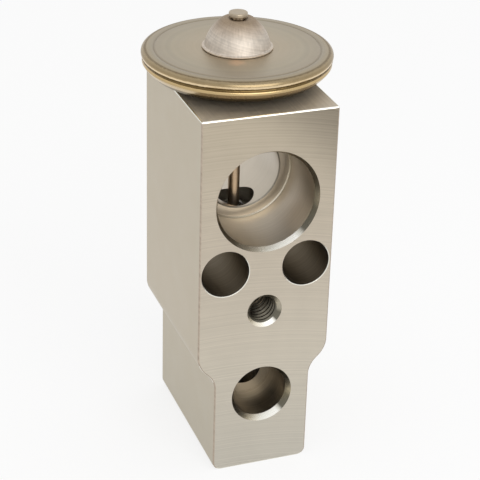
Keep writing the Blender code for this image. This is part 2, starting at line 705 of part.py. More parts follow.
def head_cover(parts):
    """The head's upper half: a flat lid with a shallow ring and a rounded, welded edge."""
    edge_centre = (HEAD_RADIUS - COVER_EDGE_RADIUS, COVER_TOP - COVER_EDGE_SLOPE - COVER_EDGE_RADIUS)
    ring_radius = HEAD_RADIUS - COVER_RING_INSET
    ring_floor = COVER_TOP - COVER_RING_DEPTH
    ceiling = COVER_TOP - HEAD_SHEET
    outline = [
        (PLUG_HOLE, COVER_TOP),
        (ring_radius - COVER_RING_WIDTH, COVER_TOP),
        (ring_radius, ring_floor),
        (ring_radius + COVER_RING_WIDTH, COVER_TOP - COVER_RING_STEP),
        *arc(edge_centre, COVER_EDGE_RADIUS, COVER_EDGE_START, COVER_EDGE_END, 5),
        (HEAD_RADIUS - COVER_LIP_INSET, COVER_RIM_LEVEL),
        (CLAMP_INNER_RADIUS, COVER_RIM_LEVEL),
        (CLAMP_INNER_RADIUS - COVER_CEILING_INSET, ceiling),
        (PLUG_HOLE, ceiling),
    ]
    cover = turned("head_cover", outline, parts, LARGE_ROUND, ring=True)
    return finish_part(cover, HEAD_STEEL)


def charge_boss(parts):
    """The soldered cone that seals the charging hole, with a thin lip on the cover."""
    flank = smooth_through(
        [
            (BOSS_TOP_RADIUS, BOSS_TOP_HEIGHT),
            (BOSS_CROWN_RADIUS, BOSS_CROWN_HEIGHT),
            (BOSS_SHOULDER_RADIUS, BOSS_SHOULDER_HEIGHT),
            (BOSS_SKIRT_RADIUS, 2 * BOSS_LIP_HEIGHT),
            (BOSS_LIP_RADIUS, BOSS_LIP_HEIGHT / 2),
        ],
        2,
    )
    outline = [
        (PLUG_HOLE, BOSS_BOTTOM + BOSS_TOP_HEIGHT - PLUG_HEAD_GAP),
        *[(radius, BOSS_BOTTOM + height) for radius, height in flank],
        (BOSS_LIP_RADIUS, BOSS_BOTTOM),
        (PLUG_HOLE, BOSS_BOTTOM),
    ]
    boss = turned("charge_boss", outline, parts, MEDIUM_ROUND, ring=True)
    return finish_part(boss, SOLDER)


def charge_plug(parts):
    """The plug in the charging hole: a flat round head on a thinner neck."""
    outline = [
        (0.0, PLUG_TOP),
        (PLUG_HEAD_RADIUS - PLUG_HEAD_EDGE, PLUG_TOP),
        (PLUG_HEAD_RADIUS, PLUG_TOP - PLUG_HEAD_EDGE),
        (PLUG_HEAD_RADIUS, PLUG_HEAD_BOTTOM + PLUG_HEAD_EDGE),
        (PLUG_HEAD_RADIUS - PLUG_HEAD_EDGE, PLUG_HEAD_BOTTOM),
        (PLUG_NECK_RADIUS, PLUG_HEAD_BOTTOM),
        (PLUG_NECK_RADIUS, PLUG_BOTTOM),
        (0.0, PLUG_BOTTOM),
    ]
    plug = turned("charge_plug", outline, parts, SMALL_ROUND)
    return finish_part(plug, BRIGHT_STEEL)


def head_seal(parts):
    """The ring of cord in the block's counterbore, under the head."""
    height = SEAL_COUNTERBORE_FLOOR + HEAD_SEAL_CORD_RADIUS + SHEET_GAP
    ring = cord_ring(
        "head_seal", HEAD_SEAL_RADIUS, HEAD_SEAL_CORD_RADIUS, height, parts, MEDIUM_ROUND
    )
    return finish_part(ring, RUBBER)


def stop_plate(parts):
    """The plate under the diaphragm, with a hub that takes the push rod's end."""
    hole = ROD_RADIUS + SHEET_GAP
    outline = [
        (0.0, STOP_PLATE_TOP),
        (STOP_PLATE_RADIUS - STOP_PLATE_EDGE, STOP_PLATE_TOP),
        (STOP_PLATE_RADIUS, STOP_PLATE_TOP - STOP_PLATE_EDGE),
        (STOP_PLATE_RADIUS, STOP_PLATE_BOTTOM),
        (STOP_HUB_RADIUS, STOP_PLATE_BOTTOM),
        (STOP_HUB_RADIUS, STOP_HUB_BOTTOM),
        (hole, STOP_HUB_BOTTOM),
        (hole, STOP_PLATE_BOTTOM),
        (0.0, STOP_PLATE_BOTTOM),
    ]
    plate = turned("stop_plate", outline, parts, MEDIUM_ROUND)
    return finish_part(plate, BRASS)


def push_rod(parts):
    """The rod from the stop plate down to the ball."""
    outline = [
        (0.0, ROD_TOP),
        (ROD_RADIUS - ROD_EDGE, ROD_TOP),
        (ROD_RADIUS, ROD_TOP - ROD_EDGE),
        (ROD_RADIUS, ROD_BOTTOM + ROD_EDGE),
        (ROD_RADIUS - ROD_EDGE, ROD_BOTTOM),
        (0.0, ROD_BOTTOM),
    ]
    return finish_part(turned("push_rod", outline, parts, SMALL_ROUND), BRIGHT_STEEL)


def collar(name, bore, radius, bottom, top, parts, finish):
    """A plain turned ring around the valve axis."""
    outline = [(bore, top), (radius, top), (radius, bottom), (bore, bottom)]
    return finish_part(turned(name, outline, parts, SMALL_ROUND, ring=True), finish)


def rod_guide(parts):
    """The bush in which the rod slides."""
    return collar(
        "rod_guide", GUIDE_BORE, GUIDE_RADIUS, GUIDE_BOTTOM, GUIDE_TOP, parts, BRASS
    )


def rod_seal(parts):
    """The ring of cord around the rod, in the pocket over the guide."""
    radius = SEAL_BORE + ROD_SEAL_CORD_RADIUS
    height = POCKET_FLOOR + ROD_SEAL_CORD_RADIUS + SHEET_GAP
    ring = cord_ring("rod_seal", radius, ROD_SEAL_CORD_RADIUS, height, parts, SMALL_ROUND)
    return finish_part(ring, RUBBER)


def seal_washer(parts):
    """The thin washer that lies on the rod seal."""
    bottom = POCKET_FLOOR + 2 * (ROD_SEAL_CORD_RADIUS + SHEET_GAP)
    outer = SEAL_POCKET_RADIUS - SHEET_GAP
    return collar(
        "seal_washer", SEAL_BORE, outer, bottom, bottom + SEAL_WASHER_THICKNESS, parts, BRASS
    )


def seal_push_nut(parts, cutters):
    """The toothed spring ring pressed into the recess to hold the rod seal down."""
    washer_top = POCKET_FLOOR + 2 * (ROD_SEAL_CORD_RADIUS + SHEET_GAP) + SEAL_WASHER_THICKNESS
    bottom = max(RECESS_FLOOR, washer_top) + SHEET_GAP
    top = bottom + PUSH_NUT_THICKNESS
    outer = SEAL_RECESS_RADIUS - SHEET_GAP
    bend = outer - PUSH_NUT_RIM
    tip = ROD_RADIUS + SEAT_GAP
    outline = [
        (tip, top + PUSH_NUT_RISE),
        (bend, top),
        (outer, top),
        (outer, bottom),
        (bend, bottom),
        (tip, bottom + PUSH_NUT_RISE),
    ]
    steps = PUSH_NUT_TOOTH_STEPS * PUSH_NUT_TEETH
    ring = turned("seal_push_nut", outline, parts, steps, ring=True)
    for i in range(PUSH_NUT_TEETH):
        slot = box(
            f"push_nut_slot_{i + 1}",
            (0.0, -PUSH_NUT_SLOT / 2, bottom - OVERCUT),
            (bend, PUSH_NUT_SLOT / 2, top + PUSH_NUT_RISE + OVERCUT),
            cutters,
        )
        slot.rotation_euler.z = 2 * math.pi * (i + 0.5) / PUSH_NUT_TEETH
        cut(ring, make_cutter(slot))
    return finish_part(ring, SPRING_STEEL)


def valve_seat(parts):
    """The hard ring pressed into the chamber's roof, with the orifice and the ball's cone."""
    outline = [
        (ORIFICE_RADIUS, SEAT_TOP),
        (SEAT_RING_RADIUS, SEAT_TOP),
        (SEAT_RING_RADIUS, CHAMBER_TOP),
        (ORIFICE_RADIUS + SEAT_CONE_WIDTH, CHAMBER_TOP),
        (ORIFICE_RADIUS, SEAT_CONE_TOP),
    ]
    seat = turned("valve_seat", outline, parts, SMALL_ROUND, ring=True)
    return finish_part(seat, BRIGHT_STEEL)


def valve_ball(parts):
    """The ball that closes the orifice from below."""
    shell = bmesh.new()
    bmesh.ops.create_uvsphere(
        shell, u_segments=BALL_SEGMENTS, v_segments=BALL_RINGS, radius=BALL_RADIUS
    )
    mesh = bpy.data.meshes.new("valve_ball")
    shell.to_mesh(mesh)
    shell.free()
    ball = link_mesh("valve_ball", mesh, parts)
    ball.location = (0.0, 0.0, BALL_HEIGHT)
    return finish_part(ball, BRIGHT_STEEL)


def ball_carrier(parts):
    """The turned carrier: a cone-bottomed cup under the ball, a flange and a stem."""
    cup_floor = CUP_CONE_LEVEL + CARRIER_CUP_FLOOR_RADIUS
    cup_outer = CARRIER_CUP_RADIUS + CARRIER_CUP_WALL
    outline = [
        (0.0, cup_floor),
        (CARRIER_CUP_FLOOR_RADIUS, cup_floor),
        (CARRIER_CUP_RADIUS, CARRIER_RIM),
        (cup_outer, CARRIER_RIM),
        (cup_outer, CARRIER_FLANGE_TOP),
        (CARRIER_FLANGE_RADIUS, CARRIER_FLANGE_TOP),
        (CARRIER_FLANGE_RADIUS, CARRIER_FLANGE_BOTTOM),
        (CARRIER_STEM_RADIUS, CARRIER_FLANGE_BOTTOM),
        (CARRIER_STEM_RADIUS, CARRIER_FLANGE_BOTTOM - CARRIER_STEM_LENGTH),
        (0.0, CARRIER_FLANGE_BOTTOM - CARRIER_STEM_LENGTH),
    ]
    carrier = turned("ball_carrier", outline, parts, SMALL_ROUND)
    return finish_part(carrier, BRASS)


def damping_clip(parts, cutters):
    """A sheet ring with eight upright fingers that rub on the chamber wall."""
    bore = CARRIER_STEM_RADIUS + SHEET_GAP
    finger_top = CLIP_BOTTOM + CLIP_FINGER_HEIGHT
    inner = CLIP_RADIUS - CLIP_THICKNESS
    outline = [
        (inner, finger_top),
        (CLIP_RADIUS, finger_top),
        (CLIP_RADIUS, CLIP_BOTTOM + CLIP_THICKNESS),
        (CLIP_RADIUS - CLIP_THICKNESS, CLIP_BOTTOM),
        (bore, CLIP_BOTTOM),
        (bore, CLIP_TOP),
        (inner, CLIP_TOP),
    ]
    clip = turned("damping_clip", outline, parts, SMALL_ROUND, ring=True)
    for i in range(CLIP_FINGER_COUNT // 2):
        slot = box(
            f"clip_slot_{i + 1}",
            (-CHAMBER_RADIUS, -CLIP_SLOT_WIDTH / 2, CLIP_TOP + CLIP_THICKNESS),
            (CHAMBER_RADIUS, CLIP_SLOT_WIDTH / 2, finger_top + OVERCUT),
            cutters,
        )
        slot.rotation_euler.z = 2 * math.pi * i / CLIP_FINGER_COUNT
        cut(clip, make_cutter(slot))
    return finish_part(clip, SPRING_STEEL)


def spring_path():
    """Points of a coil whose end turns lie flat and whose other turns share the height."""
    low = SPRING_BOTTOM + SPRING_WIRE_RADIUS / 2
    high = SPRING_TOP - SPRING_WIRE_RADIUS / 2
    flat = 2 * SPRING_WIRE_RADIUS + SPRING_END_GAP
    free = high - low - 2 * flat
    points = []
    for i in range(SPRING_TURNS * SPRING_POINTS_PER_TURN + 1):
        turn = i / SPRING_POINTS_PER_TURN
        if turn < 1:
            height = low + flat * turn
        elif turn > SPRING_TURNS - 1:
            height = high - flat * (SPRING_TURNS - turn)
        else:
            height = low + flat + free * (turn - 1) / (SPRING_TURNS - 2)
        angle = 2 * math.pi * turn
        points.append((SPRING_RADIUS * math.cos(angle), SPRING_RADIUS * math.sin(angle), height))
    return points


def valve_spring(parts, cutters):
    """The coil spring under the ball, with both ends ground flat."""
    curve = bpy.data.curves.new("valve_spring", "CURVE")
    curve.dimensions = "3D"
    curve.bevel_depth = SPRING_WIRE_RADIUS
    curve.bevel_resolution = 2
    curve.use_fill_caps = True
    path = spring_path()
    spline = curve.splines.new("POLY")
    spline.points.add(len(path) - 1)
    for point, place in zip(spline.points, path):
        point.co = (*place, 1.0)
    obj = bpy.data.objects.new("valve_spring", curve)
    parts.objects.link(obj)
    bpy.context.view_layer.update()
    spring = curve_to_mesh(obj, parts)
    reach = SPRING_RADIUS + 2 * SPRING_WIRE_RADIUS
    below = box(
        "spring_grind_bottom",
        (-reach, -reach, SPRING_BOTTOM - OVERCUT),
        (reach, reach, SPRING_BOTTOM),
        cutters,
    )
    above = box(
        "spring_grind_top",
        (-reach, -reach, SPRING_TOP),
        (reach, reach, SPRING_TOP + OVERCUT),
        cutters,
    )
    cut(spring, make_cutter(below))
    cut(spring, make_cutter(above))
    return finish_part(spring, SPRING_STEEL)


def adjusting_nut(parts, cutters):
    """The hollow screw that sets the spring: thread, seal groove, flange and hex socket."""
    outline = [
        (0.0, NUT_POCKET_FLOOR),
        (NUT_POCKET_RADIUS, NUT_POCKET_FLOOR),
        (NUT_POCKET_RADIUS, NUT_TOP),
        (NUT_FLANGE_RADIUS, NUT_TOP),
        (NUT_FLANGE_RADIUS, NUT_GROOVE_TOP),
        (NUT_GROOVE_RADIUS, NUT_GROOVE_TOP),
        (NUT_GROOVE_RADIUS, NUT_THREAD_TOP),
        (NUT_THREAD_RADIUS - NUT_THREAD_EDGE, NUT_THREAD_TOP),
        (NUT_THREAD_RADIUS, NUT_THREAD_TOP - NUT_THREAD_EDGE),
        (NUT_THREAD_RADIUS, NUT_RECESS + NUT_THREAD_EDGE),
        (NUT_THREAD_RADIUS - NUT_THREAD_EDGE, NUT_RECESS),
        (0.0, NUT_RECESS),
    ]
    nut = turned("adjusting_nut", outline, parts, MEDIUM_ROUND)
    corner_radius = HEX_ACROSS_FLATS / 2 / math.cos(math.pi / 6)
    shell = bmesh.new()
    bmesh.ops.create_cone(
        shell,
        cap_ends=True,
        segments=6,
        radius1=corner_radius,
        radius2=corner_radius,
        depth=HEX_DEPTH + OVERCUT,
    )
    mesh = bpy.data.meshes.new("hex_cutter")
    shell.to_mesh(mesh)
    shell.free()
    socket = make_cutter(link_mesh("hex_cutter", mesh, cutters))
    socket.location.z = NUT_RECESS + (HEX_DEPTH - OVERCUT) / 2
    cut(nut, socket)
    return finish_part(nut, BRASS)


def nut_seal(parts):
    """The ring of cord in the nut's groove."""
    radius = NUT_GROOVE_RADIUS + SHEET_GAP + NUT_SEAL_CORD_RADIUS
    height = NUT_THREAD_TOP + NUT_GROOVE_WIDTH / 2
    ring = cord_ring("nut_seal", radius, NUT_SEAL_CORD_RADIUS, height, parts, SMALL_ROUND)
    return finish_part(ring, RUBBER)


def main():
    """Builds every piece of the valve."""
    clear_scene()
    parts = new_collection("expansion_valve")
    cutters = new_collection("cutters")
    valve_block(parts, cutters)
    head_base(parts)
    diaphragm(parts)
    head_cover(parts)
    charge_boss(parts)
    charge_plug(parts)
    head_seal(parts)
    stop_plate(parts)
    push_rod(parts)
    rod_guide(parts)
    rod_seal(parts)
    seal_washer(parts)
    seal_push_nut(parts, cutters)
    valve_seat(parts)
    valve_ball(parts)
    ball_carrier(parts)
    damping_clip(parts, cutters)
    valve_spring(parts, cutters)
    adjusting_nut(parts, cutters)
    nut_seal(parts)


main()
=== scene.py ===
"""Dresses the expansion valve: its pieces in full detail, their finishes, the light and the camera.

Metres, +Z up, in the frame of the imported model. The origin is on the valve axis at the level of
the block's foot, and the face with the line ports looks towards -Y.
"""

import json
import logging
import math
from dataclasses import dataclass
from enum import Enum
from typing import Any, Optional, Sequence, Union

import bmesh
import bpy
from mathutils import Matrix, Vector, noise

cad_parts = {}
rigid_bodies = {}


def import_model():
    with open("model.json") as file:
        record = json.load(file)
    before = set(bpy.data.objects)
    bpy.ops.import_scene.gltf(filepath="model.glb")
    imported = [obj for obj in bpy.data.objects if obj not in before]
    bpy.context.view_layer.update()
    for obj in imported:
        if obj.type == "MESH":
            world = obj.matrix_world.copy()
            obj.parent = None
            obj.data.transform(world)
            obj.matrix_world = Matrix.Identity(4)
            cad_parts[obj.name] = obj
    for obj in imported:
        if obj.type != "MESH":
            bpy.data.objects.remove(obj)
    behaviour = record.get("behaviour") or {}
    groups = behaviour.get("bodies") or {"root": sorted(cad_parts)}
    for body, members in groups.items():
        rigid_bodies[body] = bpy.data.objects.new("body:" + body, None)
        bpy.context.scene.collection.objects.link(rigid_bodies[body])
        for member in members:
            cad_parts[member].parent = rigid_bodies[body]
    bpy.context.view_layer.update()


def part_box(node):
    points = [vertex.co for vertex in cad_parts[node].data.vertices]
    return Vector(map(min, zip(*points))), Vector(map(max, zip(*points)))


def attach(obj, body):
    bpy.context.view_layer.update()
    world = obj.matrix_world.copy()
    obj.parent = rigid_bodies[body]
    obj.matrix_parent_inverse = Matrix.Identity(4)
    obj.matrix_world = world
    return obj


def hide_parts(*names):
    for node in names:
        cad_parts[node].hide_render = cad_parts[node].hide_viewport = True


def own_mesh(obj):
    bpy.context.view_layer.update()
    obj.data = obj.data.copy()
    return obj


for leftover in list(bpy.data.objects):
    bpy.data.objects.remove(leftover, do_unlink=True)
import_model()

LOG = logging.getLogger("expansion_valve")

Colour = tuple[float, float, float]
Point = tuple[float, float]
Corner = tuple[float, float, float]
Operand = Union[float, "Signal"]
BorePoint = tuple[float, float, "Band"]

HOUSING = "housing"
TRAIN = "valve_train"
ADJUSTER = "adjuster"

FINE_ROUND = 160
ROUND = 96
TINY = 1e-9
OVERCUT = 0.001
SHARP_ANGLE = math.radians(18)
DRILL_HALF_ANGLE = math.radians(59)
THREAD_PITCH = 0.0010
LINE_DETAIL = 3.0
SPOT_ROUGHNESS = 0.16
LINE_ROUGHNESS = 0.08


class Signal:
    """An output socket on which Python's operators build Math nodes."""

    def __init__(self, graph: "Graph", socket: bpy.types.NodeSocket) -> None:
        """Wraps a socket of a graph."""
        self.graph = graph
        self.socket = socket

    def __add__(self, other: Operand) -> "Signal":
        """This plus the other."""
        return self.graph.math("ADD", self, other)

    __radd__ = __add__

    def __sub__(self, other: Operand) -> "Signal":
        """This less the other."""
        return self.graph.math("SUBTRACT", self, other)

    def __rsub__(self, other: Operand) -> "Signal":
        """The other less this."""
        return self.graph.math("SUBTRACT", other, self)

    def __mul__(self, other: Operand) -> "Signal":
        """This times the other."""
        return self.graph.math("MULTIPLY", self, other)

    __rmul__ = __mul__

    def __truediv__(self, other: Operand) -> "Signal":
        """This over the other."""
        return self.graph.math("DIVIDE", self, other)


class Graph:
    """A node tree, with one method that makes any node."""

    def __init__(self, tree: bpy.types.NodeTree) -> None:
        """Takes the tree that the nodes go into."""
        self.tree = tree

    def node(
        self,
        kind: str,
        inputs: Optional[dict[Union[int, str], Any]] = None,
        stops: Optional[Sequence[tuple[float, Colour]]] = None,
        **settings: Any,
    ) -> bpy.types.Node:
        """Adds a node.

        Args:
            kind: The node's type.
            inputs: What its sockets get, by name or number: a value or a signal.
            stops: The positions and colours of its ramp, if it has one.
            **settings: The node's own properties, which are set first.

        Returns:
            The node.
        """
        made = self.tree.nodes.new(kind)
        for name, value in settings.items():
            setattr(made, name, value)
        if stops is not None:
            ramp = made.color_ramp
            while len(ramp.elements) < len(stops):
                ramp.elements.new(1.0)
            for element, (position, colour) in zip(ramp.elements, stops):
                element.position = position
                element.color = (*colour, 1.0)
        for key, value in (inputs or {}).items():
            socket = made.inputs[key]
            if isinstance(value, Signal):
                self.tree.links.new(value.socket, socket)
            elif socket.type == "RGBA":
                socket.default_value = (*value, 1.0)
            else:
                socket.default_value = value
        return made

    def signal(
        self,
        kind: str,
        output: Union[int, str],
        inputs: Optional[dict[Union[int, str], Any]] = None,
        **settings: Any,
    ) -> Signal:
        """Adds a node as node does, and returns one of its outputs."""
        return Signal(self, self.node(kind, inputs, **settings).outputs[output])

    def math(self, operation: str, *operands: Operand) -> Signal:
        """Adds a Math node on the operands."""
        return self.signal("ShaderNodeMath", 0, dict(enumerate(operands)), operation=operation)

    def joined(self, x: Operand, y: Operand, z: Operand) -> Signal:
        """A vector of three numbers."""
        return self.signal("ShaderNodeCombineXYZ", 0, {0: x, 1: y, 2: z})

    def apart(self, vector: Signal) -> tuple[Signal, Signal, Signal]:
        """The three numbers of a vector."""
        split = self.node("ShaderNodeSeparateXYZ", {0: vector})
        return tuple(Signal(self, output) for output in split.outputs)

    def step(self, value: Signal, start: float, end: float) -> Signal:
        """Rises smoothly from 0 at start to 1 at end."""
        return self.signal(
            "ShaderNodeMapRange",
            "Result",
            {"Value": value, "From Min": start, "From Max": end},
            interpolation_type="SMOOTHSTEP",
        )

    def noise(self, vector: Signal, scale: float, detail: float = 2.0) -> Signal:
        """Smooth noise in space, around one half."""
        inputs = {"Vector": vector, "Scale": scale, "Detail": detail}
        return self.signal("ShaderNodeTexNoise", 0, inputs)

    def noise_along(self, measure: Signal, detail: float = 2.0) -> Signal:
        """Smooth noise along one measure, around one half."""
        inputs = {"W": measure, "Scale": 1.0, "Detail": detail}
        return self.signal("ShaderNodeTexNoise", 0, inputs, noise_dimensions="1D")


class Place:
    """Where a shaded point is on its piece."""

    def __init__(self, graph: Graph) -> None:
        """Reads the object's own coordinates."""
        self.graph = graph
        self.vector = graph.signal("ShaderNodeTexCoord", "Object")
        self.x, self.y, self.z = graph.apart(self.vector)
        self.radius = graph.math("SQRT", self.x * self.x + self.y * self.y)

    def stretched(self, x: float, y: float, z: float) -> Signal:
        """The place with each axis measured in a unit of its own."""
        return self.graph.joined(self.x / x, self.y / y, self.z / z)

    def across_arcs(self) -> Signal:
        """How far up the arcs of the face cutter the place is."""
        reach, centre = 0.090, -0.009
        sideways = self.x - centre
        return self.z - self.graph.math("SQRT", reach**2 - sideways * sideways)


class ShaderGraph(Graph):
    """The node tree of a material."""

    def __init__(self, name: str) -> None:
        """Makes an empty material of this name."""
        self.material = bpy.data.materials.new(name)
        self.material.use_nodes = True
        super().__init__(self.material.node_tree)
        self.tree.nodes.clear()

    def mixed(self, factor: Operand, first: Any, second: Any) -> Signal:
        """The first colour where the factor is 0 and the second where it is 1."""
        inputs = {0: factor, 6: first, 7: second}
        return self.signal("ShaderNodeMix", 2, inputs, data_type="RGBA")

    def scaled(self, colour: Any, shade: Operand) -> Signal:
        """A colour made lighter or darker."""
        return self.signal("ShaderNodeVectorMath", 0, {0: colour, 3: shade}, operation="SCALE")

    def bump(self, height: Signal, distance: float) -> Signal:
        """A normal from a height."""
        inputs = {"Height": height, "Distance": distance, "Strength": 1.0}
        return self.signal("ShaderNodeBump", 0, inputs)

    def show(self, shader: Signal) -> bpy.types.Material:
        """Puts a shader on the surface and returns the material."""
        self.node("ShaderNodeOutputMaterial", {"Surface": shader})
        return self.material

    def principled(self, inputs: dict[str, Any]) -> bpy.types.Material:
        """Ends the material in a Principled shader."""
        return self.show(self.signal("ShaderNodeBsdfPrincipled", 0, inputs))


class Lay(Enum):
    """Which way a finish's fine lines run."""

    MILLED = "arcs of a wide cutter across a face"
    DRAWN = "along the bar"
    PORT = "round a port's axis"
    TURNED = "round the valve axis"
    BRUSHED = "up and down a cone"


class Measure(Enum):
    """What a colour ramp follows."""

    HEIGHT = "height over the foot"
    RADIUS = "distance from the valve axis"


@dataclass(frozen=True)
class Ramp:
    """Colours that change along one measure of a piece.

    Attributes:
        measure: What the ramp follows.
        stops: Pairs of a place along it, in metres, and a colour.
        jitter: How far the colours' borders wander, in metres.
        jitter_size: How wide such a wandering is, in metres.
    """

    measure: Measure
    stops: tuple[tuple[float, Colour], ...]
    jitter: float = 0.0
    jitter_size: float = 0.001

    def colour(self, graph: ShaderGraph, at: Place) -> Signal:
        """The colour at a place."""
        value = at.z if self.measure is Measure.HEIGHT else at.radius
        if self.jitter:
            wander = graph.noise(at.vector, 1 / self.jitter_size, LINE_DETAIL)
            value = value + 2 * self.jitter * (wander - 0.5)
        start, end = self.stops[0][0], self.stops[-1][0]
        share = (value - start) / (end - start)
        stops = [((place - start) / (end - start), colour) for place, colour in self.stops]
        return graph.signal("ShaderNodeValToRGB", 0, {0: share}, stops=stops)


@dataclass(frozen=True)
class Metal:
    """A worked metal: a colour, fine lines from how it was made, and mottling.

    Attributes:
        name: The material's name.
        colour: Its colour, unless a ramp gives it.
        roughness: Its mean roughness.
        lay: Which way its lines run.
        line_width: How wide a line is, in metres.
        line_contrast: How much the lines darken and lighten it.
        line_height: How deep the lines are, in metres.
        mottle: How much its mottling darkens and lightens it.
        mottle_size: How wide a mottle is, in metres.
        ramp: Colours along the piece.
    """

    name: str
    colour: Colour
    roughness: float
    lay: Lay
    line_width: float = 0.00025
    line_contrast: float = 0.08
    line_height: float = 0.0000015
    mottle: float = 0.05
    mottle_size: float = 0.005
    ramp: Optional[Ramp] = None

    def lines(self, graph: ShaderGraph, at: Place) -> Signal:
        """The finish's fine lines, around one half."""
        if self.lay is Lay.BRUSHED:
            squeeze, strokes, slant, scratch = 60, 14.0, 0.3, 0.00042
            turn = graph.joined(at.x / at.radius, at.y / at.radius, at.z * squeeze)
            across = graph.noise_along((at.z + slant * at.x) / scratch, LINE_DETAIL)
            return 0.55 * graph.noise(turn, strokes, LINE_DETAIL) + 0.45 * across
        if self.lay is Lay.MILLED:
            along = at.across_arcs()
        elif self.lay is Lay.DRAWN:
            along = at.x + at.z
        elif self.lay is Lay.PORT:
            along = at.y
        else:
            along = at.radius + at.z
        return graph.noise_along(along / self.line_width, LINE_DETAIL)

    def shade(self, graph: ShaderGraph, at: Place, lines: Signal, spots: Signal) -> Signal:
        """How much lighter or darker than its colour the metal is, around 1."""
        return 1 + self.line_contrast * 2 * (lines - 0.5) + self.mottle * 2 * (spots - 0.5)

    def tint(self, graph: ShaderGraph, at: Place) -> Any:
        """The colour before its shade."""
        return self.ramp.colour(graph, at) if self.ramp else self.colour

    def material(self) -> bpy.types.Material:
        """Builds the material."""
        graph = ShaderGraph(self.name)
        at = Place(graph)
        lines = self.lines(graph, at)
        spots = graph.noise(at.vector, 1 / self.mottle_size, LINE_DETAIL)
        shade = self.shade(graph, at, lines, spots)
        roughness = self.roughness + SPOT_ROUGHNESS * (spots - 0.5) + LINE_ROUGHNESS * (lines - 0.5)
        return graph.principled(
            {
                "Base Color": graph.scaled(self.tint(graph, at), shade),
                "Metallic": 1.0,
                "Roughness": roughness,
                "Normal": graph.bump(lines, self.line_height),
            }
        )


@dataclass(frozen=True)
class MilledFace(Metal):
    """The block's machined faces, with a cutter's arcs.

    Attributes:
        band_width: How wide the cutter's broader bands are, in metres.
        band_contrast: How much they darken and lighten the face.
        stain_size: How wide a stain by handling is along each axis, in metres.
        stain_contrast: How much the stains darken and lighten the face.
        corner: Where x + z begins and ends to darken it towards its upper right corner, as painted
            shade.
        corner_shade: How much the painted shade darkens it there.
    """

    band_width: float = 0.0016
    band_contrast: float = 0.06
    stain_size: Corner = (0.018, 0.018, 0.030)
    stain_contrast: float = 0.10
    corner: Point = (0.0660, 0.0840)
    corner_shade: float = 0.42

    def shade(self, graph: ShaderGraph, at: Place, lines: Signal, spots: Signal) -> Signal:
        """As a metal's, with broader bands from the cutter, stains by handling and painted shade
        towards its upper right corner.
        """
        bands = graph.noise_along(at.across_arcs() / self.band_width, 1.0)
        stain = graph.noise(at.stretched(*self.stain_size), 1.0, 1.0)
        # Painted shade towards the face's upper right corner.
        corner = graph.step(at.x + at.z, *self.corner)
        base = super().shade(graph, at, lines, spots)
        marks = self.band_contrast * (bands - 0.5) + self.stain_contrast * (stain - 0.5)
        return base + marks - self.corner_shade * corner


@dataclass(frozen=True)
class PaintedReflectionMouth(Metal):
    """The lead-in of a port, with a painted reflection on the front bores: bright below and dark on
    the lower right.

    Attributes:
        heights: The front bores' heights over the foot, from the lowest up.
        turn: Pairs of an angle in degrees, round a front bore from +X, and a colour of the painted
            reflection.
    """

    heights: tuple[float, float, float] = (0.0155, 0.0334, 0.0554)
    # Painted reflection round each front bore: bright below, dark on the lower right.
    turn: tuple[tuple[float, Colour], ...] = (
        (-180, (0.40, 0.36, 0.29)),
        (-134, (0.66, 0.60, 0.48)),
        (-112, (0.86, 0.80, 0.67)),
        (-98, (0.90, 0.86, 0.75)),
        (-86, (0.92, 0.91, 0.83)),
        (-54, (0.98, 0.97, 0.92)),
        (-48, (0.72, 0.70, 0.63)),
        (-42, (0.15, 0.14, 0.11)),
        (-16, (0.14, 0.13, 0.10)),
        (-2, (0.36, 0.33, 0.26)),
        (30, (0.44, 0.40, 0.32)),
        (180, (0.40, 0.36, 0.29)),
    )

    def tint(self, graph: ShaderGraph, at: Place) -> Signal:
        """The turn's painted reflection on the front, and the plain colour elsewhere."""
        low, middle, high = self.heights
        over_low = graph.math("GREATER_THAN", at.z, (low + middle) / 2)
        over_middle = graph.math("GREATER_THAN", at.z, (middle + high) / 2)
        rise = at.z - (low + (middle - low) * over_low + (high - middle) * over_middle)
        share = 0.5 + graph.math("ARCTAN2", rise, at.x) / (2 * math.pi)
        stops = [((angle + 180) / 360, colour) for angle, colour in self.turn]
        painted_turn_colour = graph.signal("ShaderNodeValToRGB", 0, {0: share}, stops=stops)
        front = graph.math("LESS_THAN", at.y, 0.0)
        return graph.mixed(front, self.colour, painted_turn_colour)


@dataclass(frozen=True)
class SolderedLid(Metal):
    """The lid's satin top, with a copper-coloured painted reflection of the boss in front of it.

    Attributes:
        stain: Where the painted reflection's middle is.
        stain_colour: The painted reflection's colour.
        stain_depth: How much of the lid's own colour it covers.
        stain_fade: How far from its middle it begins and ends to fade, in metres.
        stain_wander: How far its border wanders, in metres.
    """

    stain: Point = (-0.0029, -0.0074)
    stain_colour: Colour = (0.60, 0.43, 0.29)
    stain_depth: float = 0.8
    stain_fade: Point = (0.0004, 0.0021)
    stain_wander: float = 0.0014

    def tint(self, graph: ShaderGraph, at: Place) -> Signal:
        """The ramp's colour, with the painted reflection over it."""
        x, y = at.x - self.stain[0], at.y - self.stain[1]
        reach = graph.math("SQRT", x * x + y * y)
        blotch = graph.noise(at.vector, 900.0, 2.0)
        wander = self.stain_wander * (blotch - 0.5)
        painted_reflection_mask = 1 - graph.step(reach + wander, *self.stain_fade)
        plain = super().tint(graph, at)
        return graph.mixed(self.stain_depth * painted_reflection_mask, plain, self.stain_colour)


@dataclass(frozen=True)
class Rubber:
    """Oiled sealing rubber.

    Attributes:
        name: The material's name.
        colour: Its colour.
    """

    name: str
    colour: Colour

    def material(self) -> bpy.types.Material:
        """Builds the material."""
        graph = ShaderGraph(self.name)
        at = Place(graph)
        grain = graph.noise(at.vector, 2500.0, 3.0)
        film = graph.noise(at.vector, 400.0, 2.0)
        return graph.principled(
            {
                "Base Color": graph.scaled(self.colour, 0.7 + 0.6 * film),
                "Roughness": 0.38 + 0.25 * film,
                "Normal": graph.bump(grain, 0.00001),
            }
        )


